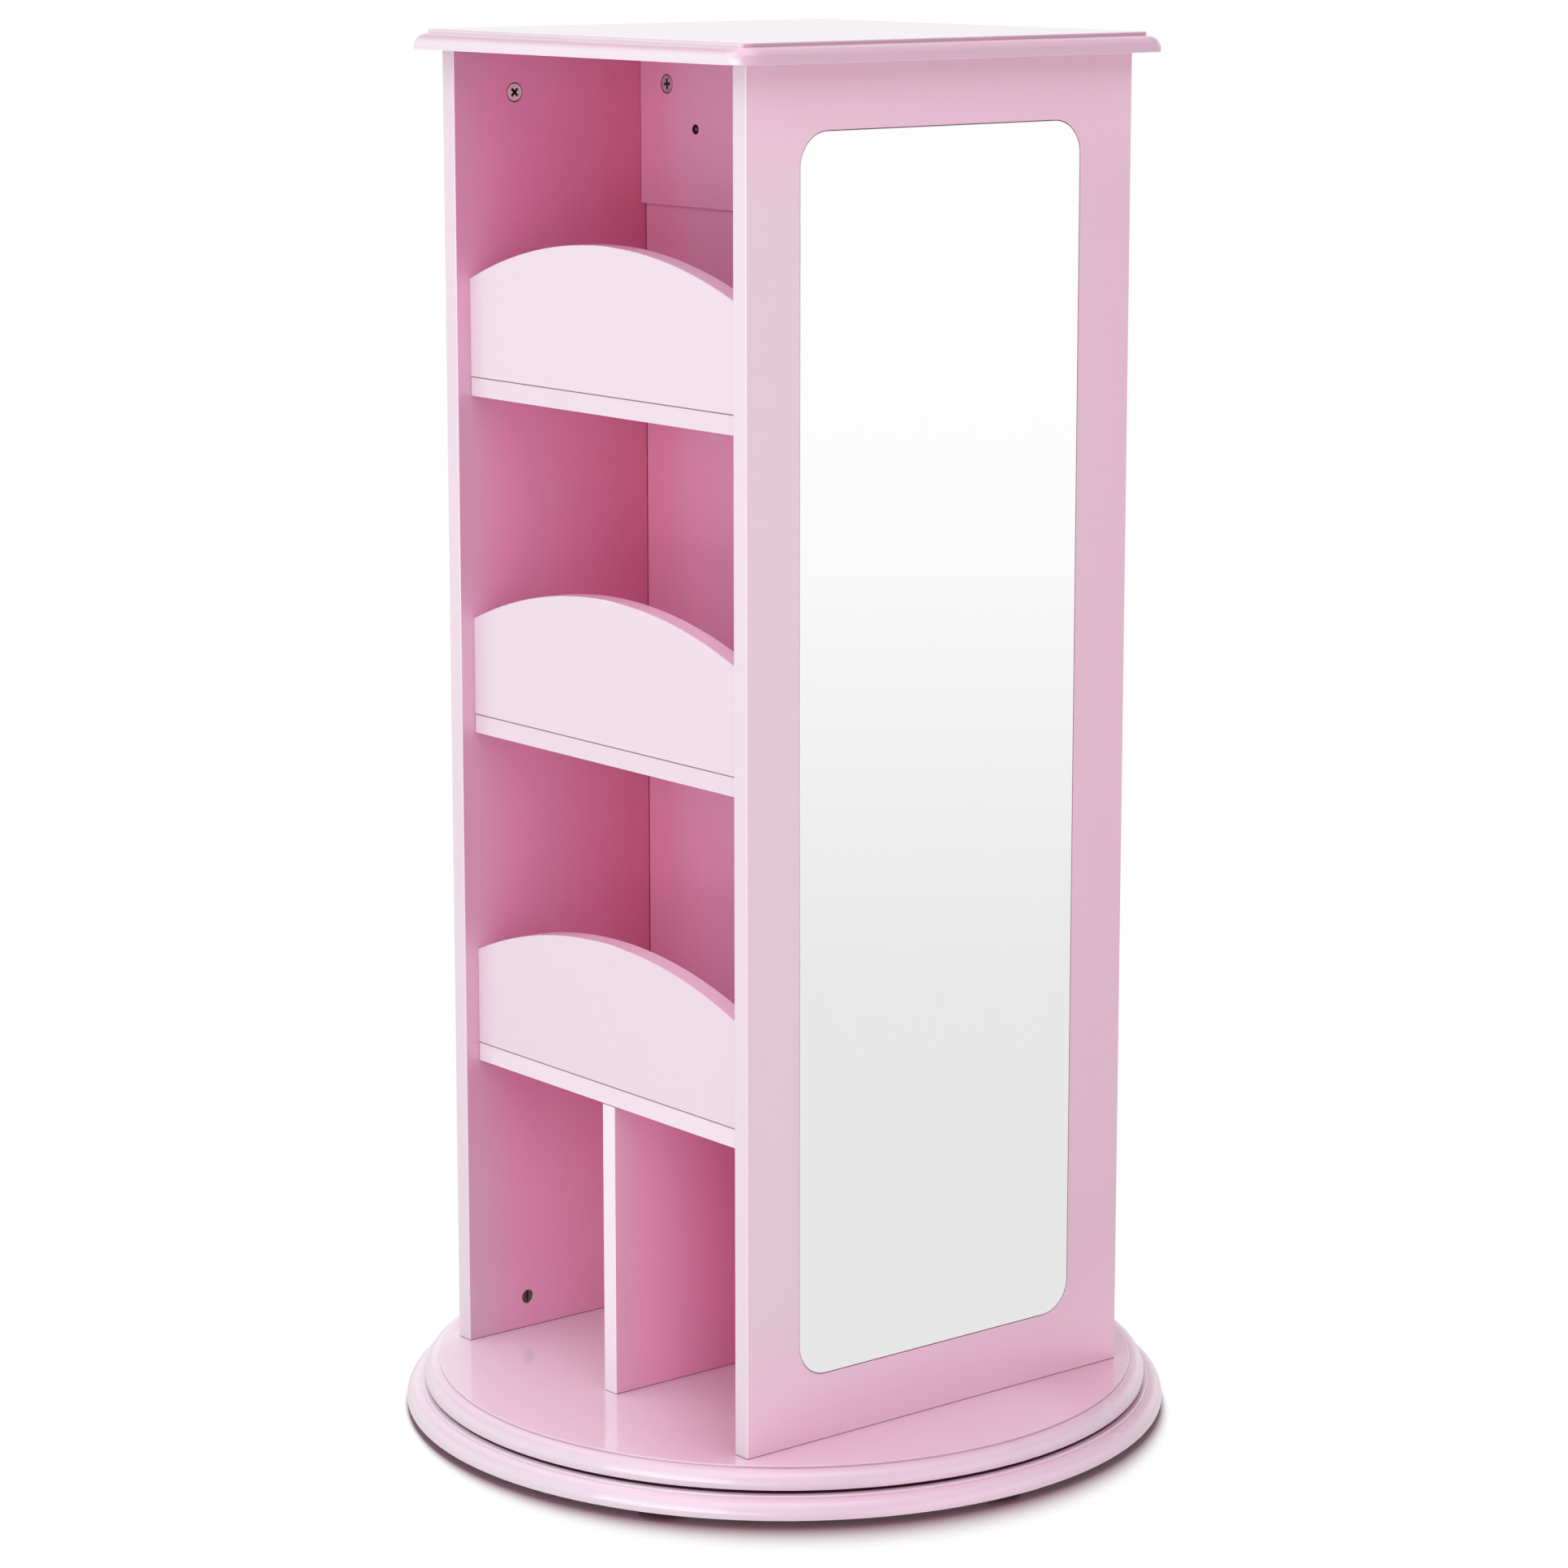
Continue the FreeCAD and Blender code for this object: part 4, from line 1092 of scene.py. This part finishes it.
@dataclass
class TurningBase:
    """Lower disc on its six glides."""

    glide_circle: float = 255.0
    glide_r: float = 18.0
    glide_height: float = 6.0
    glide_count: int = 6
    screw_z: float = 1.5
    ribs: int = 36
    rib_depth: float = 0.35

    def build(self) -> None:
        """Makes the base's pieces: the feet are ribbed, with a felt ring under each."""
        # The lower disc's top under the upper disc carries painted shade; its underside is bare
        # fibreboard.
        dress("lower_disc", replace(ROUTED, name="lacquer_base", bare_underside_and_gap_shade=True, joints=(), shift=1.4))
        r, top = self.glide_r, self.glide_height
        shell = [
            (4.6, 1.5), (4.6, 0.5), (6.4, 0.35), (6.4, 0.6), (r - 2.6, 0.6), (r - 2.6, 0.35),
            (r - 1.6, 0.3), (r - 0.5, 0.8), (r, 1.5), (r, 5.0), (r - 0.1, 5.4), (r - 0.5, top),
            (3.7, top), (3.7, 3.6), (1.9, 3.4), (1.9, 3.3), (3.7, 1.5), (4.6, 1.5),
        ]
        felt = [(6.5, 0.6), (6.5, 0.0), (r - 2.7, 0.0), (r - 2.7, 0.6)]
        glide = Workpiece().turn(shell, self.ribs * 4, self.ribbed).turn(felt, 48, slot=1)
        screw = WoodScrew(14.0).pattern()
        for node, pattern, height, finishes, slot in (
            ("floor_glides", glide, 0.0, (PLASTIC, FELT), Slot.GLIDE),
            ("glide_screws", screw, self.screw_z, (STEEL, RECESS_SHADE), Slot.STEEL),
        ):
            spots = ring(self.glide_count, self.glide_circle, height)
            pattern.repeat(node, [(spot, Z, X) for spot in spots], finishes, slot, Body.BASE)

    def ribbed(self, plain: float, angle: float, height: float) -> float:
        """Radius of a glide with the ribs of its side wall."""
        cut = self.rib_depth * (0.5 + 0.5 * math.cos(self.ribs * angle)) ** 2
        return plain - (cut if plain >= self.glide_r - 0.4 and 1.4 < height < 5.2 else 0.0)


@dataclass
class RingBearing:
    """Ring bearing between the two discs."""

    screw_length: float = 16.0
    screw_count: int = 6
    inner_circle: float = 114.7
    inner_head: float = 26.0
    outer_circle: float = 139.3
    outer_head: float = 19.0
    outer_start: float = 15.0

    def build(self) -> None:
        """Dresses rings, balls and cage and makes the ring screws."""
        for node, finish in (
            ("bearing_inner_ring", ALUMINIUM), ("bearing_outer_ring", ALUMINIUM),
            ("bearing_balls", BALL_STEEL), ("ball_cage", CAGE_PLASTIC),
        ):
            dress(node, finish)
        screw = WoodScrew(self.screw_length).pattern()
        inner = ring(self.screw_count, self.inner_circle, self.inner_head)
        outer = ring(self.screw_count, self.outer_circle, self.outer_head, self.outer_start)
        for node, body, spots, into in (
            ("inner_ring_screws", Body.BASE, inner, -Z),
            ("outer_ring_screws", Body.CABINET, outer, Z),
        ):
            screw.repeat(node, [(spot, into, X) for spot in spots], (STEEL, RECESS_SHADE), body=body)


@dataclass
class Carcass:
    """Boards of the cabinet: panels, shelves, lips, divider, rail, back, slab and upper disc."""

    boards: tuple[tuple[str, Lacquer], ...] = (
        ("plain_side_panel", SIDE_PINK), ("mirror_side_panel", PINK), ("cross_rail", BACK_PINK),
        ("back_panel", BACK_PINK), ("cubby_divider", DIVIDER_PINK), ("lower_shelf", SHELF_PINK),
        ("middle_shelf", PINK), ("upper_shelf", PINK), ("lower_lip", LIP_PINK),
        ("middle_lip", LIP_PINK), ("upper_lip", LIP_PINK), ("top_slab", SLAB),
    )
    pegs: tuple[str, ...] = ("coat_peg_left", "coat_peg_middle", "coat_peg_right")
    pattern_step: float = 0.83
    inner_x: float = 0.1705
    floor_z: float = 0.039
    slab_z: float = 1.0625

    def joints(self, node: str, low: float, high: float) -> tuple[tuple[int, float], ...]:
        """Joints that show on a board.

        Args:
            node: the board
            low: height of its foot
            high: height of its top

        Returns:
            Axis number and level of each.
        """
        levels = {"lip": (low,), "shelf": (high,), "divider": (low, high)}.get(
            node.rpartition("_")[2], (self.floor_z, self.slab_z)
        )
        between_sides = not node.endswith(("_side_panel", "_divider"))
        ends = (-self.inner_x, self.inner_x) if between_sides else ()
        return (*((0, x) for x in ends), *((2, z) for z in levels))

    def build(self) -> None:
        """Dresses every board with lacquer that knows its arrises and joints, and the pegs."""
        for number, (node, base) in enumerate(self.boards, 1):
            box = tuple(tuple(corner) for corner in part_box(node))
            dress(node, replace(
                base, name=f"lacquer_{node}", shift=base.shift or self.pattern_step * number,
                box=box, joints=base.joints or self.joints(node, box[0][2], box[1][2]),
            ))
        dress("upper_disc", ROUTED)
        for node in self.pegs:
            dress(node, Lacquer("lacquer_turned", roughness=0.3, shift=1.9))


@dataclass
class MirrorFace:
    """Mirror let into its panel, on strips of foam tape."""

    face_x: float = 185.5
    back_x: float = 182.5
    y_band: Band = (-135.7, 133.3)
    z_band: Band = (90.7, 1013.7)
    corner_r: float = 25.0
    arris: float = 0.35
    corner_steps: int = 20

    def outline(self, x: float, inset: float) -> list[Vector]:
        """Rounded outline of the mirror.

        Args:
            x: plane that it lies in
            inset: distance by which it is drawn in

        Returns:
            Its points, going round.
        """
        radius = self.corner_r - inset
        (left, right), (foot, top) = (
            (low + self.corner_r, high - self.corner_r) for low, high in (self.y_band, self.z_band)
        )
        points = []
        for quarter, (y, z) in enumerate(((right, top), (left, top), (left, foot), (right, foot))):
            for step in range(self.corner_steps + 1):
                angle = math.pi / 2 * (quarter + step / self.corner_steps)
                across, up = radius * math.cos(angle), radius * math.sin(angle)
                points.append(Vector((x, y + across, z + up)))
        return points

    def build(self) -> None:
        """Makes the plate with its ground arris, and dresses the tape."""
        lines = ((self.back_x, 0.0), (self.face_x - self.arris, 0.0), (self.face_x, self.arris))
        plate = Workpiece("mirror_plate").skin([self.outline(*line) for line in lines], slot=1)
        plate.mesh.faces.ensure_lookup_table()
        plate.mesh.faces[-1].material_index = 0
        plate.mesh.faces[-2].material_index = 2
        finishes = (SilveredGlass("mirror_silver"), GLASS_EDGE, BACK_PAINT)
        plate.deliver("mirror", finishes, Slot.MIRROR, Body.CABINET, crease=20.0)
        dress("mirror_tape", FOAM)


@dataclass
class Fastenings:
    """Cam locks, bolts, dowels and screws that hold the cabinet together."""

    panel_x: Band = (-178.0, 178.0)
    inner_x: Band = (-170.5, 170.5)
    cam_y: Band = (-128.5, 128.5)
    dowel_y: Band = (-96.5, 96.5)
    slab_z: float = 1062.5
    floor_z: float = 39.0
    setback: float = 34.0
    face: float = 7.2
    nut_x: Band = (-171.3, 171.3)
    nut_z: float = 64.2
    foot_bolt_z: float = 25.0
    shelf_tops: tuple[float, ...] = (283.7, 548.1, 812.5)
    shelf_mids: tuple[float, ...] = (276.2, 540.6, 805.0)
    shelf_feet: tuple[float, ...] = (268.7, 533.1, 797.5)
    shelf_cam_y: Band = (-140.1, -35.5)
    shelf_dowel_y: Band = (-108.1, -67.5)
    rail_y: float = 0.0
    rail_cam_z: float = 1032.6
    rail_cam_turned: float = 4.0
    rail_dowel_z: float = 967.5
    rail_dowel_x: Band = (-60.0, 60.0)
    lip_y: float = -165.6
    lip_dowel_x: Band = (-100.0, 100.0)
    lip_screw_x: Band = (-55.0, 55.0)
    divider_x: float = 0.0
    divider_dowel_y: Band = (-135.1, -40.5)
    divider_screw_y: Band = (-159.1, -16.5)
    divider_screw_z: float = 24.0
    peg_x: tuple[float, ...] = (-100.0, 0.0, 100.0)
    peg_y: float = -7.5
    peg_z: float = 998.9
    screw_length: float = 35.0

    def cams(self) -> None:
        """Makes the locks and the bolts of each group of seams."""
        bolt, lock = CamBolt(self.setback).pattern(), CamLock().pattern()
        rail_lock = CamLock(turned=self.rail_cam_turned).pattern()
        tops = spread(self.panel_x, self.cam_y, (self.slab_z,))
        shelves = spread(self.inner_x, self.shelf_cam_y, self.shelf_mids, across=-Z)
        rails = spread(self.inner_x, (self.rail_y,), (self.rail_cam_z,), across=-Y)
        for group, pattern, zinc, seams in (
            ("top", lock, ZINC, [(seam, Z, -out) for seam, out, _ in tops]),
            ("shelf", lock, ZINC, shelves),
            # The rail's locks take the painted-shade zinc.
            ("rail", rail_lock, SHADED_ZINC, rails),
        ):
            places = [
                (seam - into * self.setback + look * self.face, look, into)
                for seam, into, look in seams
            ]
            pattern.repeat(f"{group}_cam_locks", places, (zinc, RECESS_SHADE), Slot.CAM)
            bolt.repeat(f"{group}_cam_bolts", seams, (STEEL,))

    def feet(self) -> None:
        """Makes the barrel nuts in the feet of the panels, and their bolts."""
        nuts = [(p, -out, -Z) for p, out, _ in spread(self.nut_x, self.cam_y, (self.nut_z,))]
        bolts = spread(self.panel_x, self.cam_y, (self.foot_bolt_z,), Z)
        BarrelNut().pattern().repeat("foot_barrel_nuts", nuts, (BROWNED, RECESS_SHADE), Slot.CAM)
        FootBolt().pattern().repeat("foot_bolts", bolts, (STEEL, RECESS_SHADE))

    def dowels(self) -> None:
        """Makes the fluted dowels of each group."""
        dowel, middle = FlutedDowel().pattern(), (self.divider_x,)
        for group, places in {
            "top": spread(self.panel_x, self.dowel_y, (self.slab_z,), Z),
            "foot": spread(self.panel_x, self.dowel_y, (self.floor_z,), -Z),
            "shelf": spread(self.inner_x, self.shelf_dowel_y, self.shelf_mids, across=Y),
            "rail": spread(self.inner_x, (self.rail_y,), (self.rail_dowel_z,), across=Y)
            + spread(self.rail_dowel_x, (self.rail_y,), (self.slab_z,), Z),
            "lip": spread(self.lip_dowel_x, (self.lip_y,), self.shelf_tops, -Z),
            "divider": spread(middle, self.divider_dowel_y, (self.floor_z,), -Z)
            + spread(middle, self.divider_dowel_y, self.shelf_feet[:1], Z),
        }.items():
            dowel.repeat(f"{group}_dowels", places, (BEECH,), Slot.BEECH)

    def screws(self) -> None:
        """Makes the screws of the lips, the divider and the pegs."""
        lips = spread(self.lip_screw_x, (self.lip_y,), self.shelf_feet, Z)
        dividers = spread((self.divider_x,), self.divider_screw_y, (self.divider_screw_z,), Z)
        pegs = spread(self.peg_x, (self.peg_y,), (self.peg_z,), Y, Z)
        screw, peg_screw = (WoodScrew(self.screw_length, dome).pattern() for dome in (False, True))
        screw.repeat("lip_screws", lips, (STEEL, RECESS_SHADE))
        screw.repeat("divider_screws", dividers, (STEEL, RECESS_SHADE))
        peg_screw.repeat("peg_screws", pegs, (PEG_STEEL, RECESS_SHADE))

    def build(self) -> None:
        """Makes every fastener."""
        for make in (self.cams, self.feet, self.dowels, self.screws):
            make()


# ---- studio


@dataclass(frozen=True)
class Softbox:
    """Large soft lamp, given by its radiance."""

    name: str
    place: Colour
    aim: Colour
    width: float
    height: float
    radiance: float

    def hang(self) -> None:
        """Makes the lamp."""
        data = bpy.data.lights.new(self.name, "AREA")
        data.shape, data.size, data.size_y = "RECTANGLE", self.width, self.height
        data.energy = self.radiance * math.pi * self.width * self.height
        lamp = put(self.name, data)
        way = Vector(self.aim) - Vector(self.place)
        lamp.location, lamp.rotation_euler = self.place, way.to_track_quat("-Z", "Y").to_euler()
        lamp.visible_camera = False


@dataclass(frozen=True)
class StudioFloor(Finish):
    """White studio floor whose painted shadow deepens the real one close to the base, widest in
    front.
    """

    albedo: Colour = (0.8, 0.8, 0.8)
    # Painted shadow: the dark floor colour the camera sees near the base, still under real light.
    seen: Colour = (0.2, 0.085, 0.135)
    shade_way: Band = (0.873, -0.487)
    shade_start: float = 0.299
    least_width: float = 0.004
    front_width: float = 0.046
    shade_ease: float = 0.62
    roughness: float = 0.12
    gloss_reach: float = 12.0
    gloss_ease: float = 0.8
    # Painted shade in reflections: the floor greys toward the object in what gloss and glass show.
    gloss: tuple[Band, ...] = ((0.0, 0.8), (0.2, 0.82), (0.35, 0.91), (0.5, 0.985), (0.65, 1.0))

    def dress(self, graph: Graph) -> None:
        """Real shadow on a painted dark floor close to the object, plain white further off, for
        what the camera sees.

        Args:
            graph: the material's nodes
        """
        (x, y, _), reach = graph.axes(), graph.reach()
        ahead = ((x * self.shade_way[0] + y * self.shade_way[1]) / reach).at_least(0.0)
        width = ahead * ahead * self.front_width + self.least_width
        far = ((reach - self.shade_start) / width).between(0.0, 1.0) ** self.shade_ease
        camera, bent = graph.rays()
        # Painted shadow for the camera near the base, on top of the real shadow.
        colour = graph.blend(camera, self.albedo, self.seen)
        base = graph.node("BsdfPrincipled", {}, {"Base Color": colour, "Roughness": self.roughness})
        # Painted shade in reflections, greyer toward the object.
        place = (reach / self.gloss_reach) ** self.gloss_ease
        greys = graph.node("ValToRGB", {"stops": self.gloss}, {0: place}).outputs[0]
        white, mirrored = (
            graph.node("Emission", {}, {"Color": tone, "Strength": 1.0}) for tone in (WHITE, greys)
        )
        graph.surface(graph.mix(bent, graph.mix(far * camera, base, white), mirrored))


@dataclass
class Studio:
    """Floor, world, lamps and camera."""

    floor_r: float = 30.0
    sky: Band = (0.06, 1.56)
    sky_gloss: Band = (0.88, 0.25)
    sky_rise: Band = (0.2, 0.6)
    camera_place: Colour = (2.6707, -2.167, 1.193)
    camera_tilt: float = 79.55
    camera_turn: float = 50.95
    lens: float = 103.45
    sensor: float = 36.0
    shift_y: float = -0.05
    clip: Band = (0.05, 60.0)
    softboxes: tuple[Softbox, ...] = (
        Softbox("front_box", (0.9, -3.2, 0.95), (0.0, 0.0, 0.55), 2.4, 1.7, 2.2),
        Softbox("low_box", (1.4, -2.5, 0.25), (0.0, 0.0, 0.6), 2.0, 0.5, 1.7),
        Softbox("high_box", (0.5, -2.6, 2.2), (0.0, 0.0, 0.3), 2.0, 1.6, 1.0),
        Softbox("top_box", (0.0, -0.6, 3.0), (0.0, 0.0, 0.0), 2.4, 2.4, 0.84),
    )

    def build(self) -> None:
        """Sets up the studio."""
        self.camera()
        self.world()
        self.floor()
        for softbox in self.softboxes:
            softbox.hang()
        bpy.context.scene.view_settings.view_transform = "Standard"

    def camera(self) -> None:
        """Camera on its stand."""
        data = bpy.data.cameras.new("camera")
        data.sensor_width, data.lens, data.shift_y = self.sensor, self.lens, self.shift_y
        data.clip_start, data.clip_end = self.clip
        stand = put("camera", data)
        stand.location = self.camera_place
        stand.rotation_euler = (math.radians(self.camera_tilt), 0.0, math.radians(self.camera_turn))
        bpy.context.scene.camera = stand

    def world(self) -> None:
        """White surroundings in view, a pale backdrop in gloss, and light from above."""
        world = bpy.data.worlds.new("studio")
        world.use_nodes = True
        bpy.context.scene.world = world
        graph = Graph(world.node_tree)
        camera, bent = graph.rays()
        up = graph.axes("Generated")[2].between(*self.sky_rise)
        light, shine = (
            up * (full - start) + start for start, full in (self.sky, self.sky_gloss)
        )
        strength = light * (1.0 - camera) * (1.0 - bent) + shine * bent + camera
        sockets = {"Color": WHITE, "Strength": strength}
        graph.surface(graph.node("Background", {}, sockets), "World")

    def floor(self) -> None:
        """Round floor on the ground plane."""
        profile = [(0.0, 0.0), (600.0, 0.0), (self.floor_r / MM, 0.0)]
        made = Workpiece("studio_floor").turn(profile, 96).bare_object()
        if made.data.polygons[0].normal.z < 0:
            made.data.flip_normals()
        made.data.materials.append(StudioFloor("studio_floor").material())


def main() -> None:
    """Builds the studio and every sub-assembly."""
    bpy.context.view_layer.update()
    Studio().build()
    TurningBase().build()
    RingBearing().build()
    Carcass().build()
    MirrorFace().build()
    Fastenings().build()


if __name__ == "__main__":
    logging.basicConfig(level=logging.INFO, format="%(message)s")
    main()
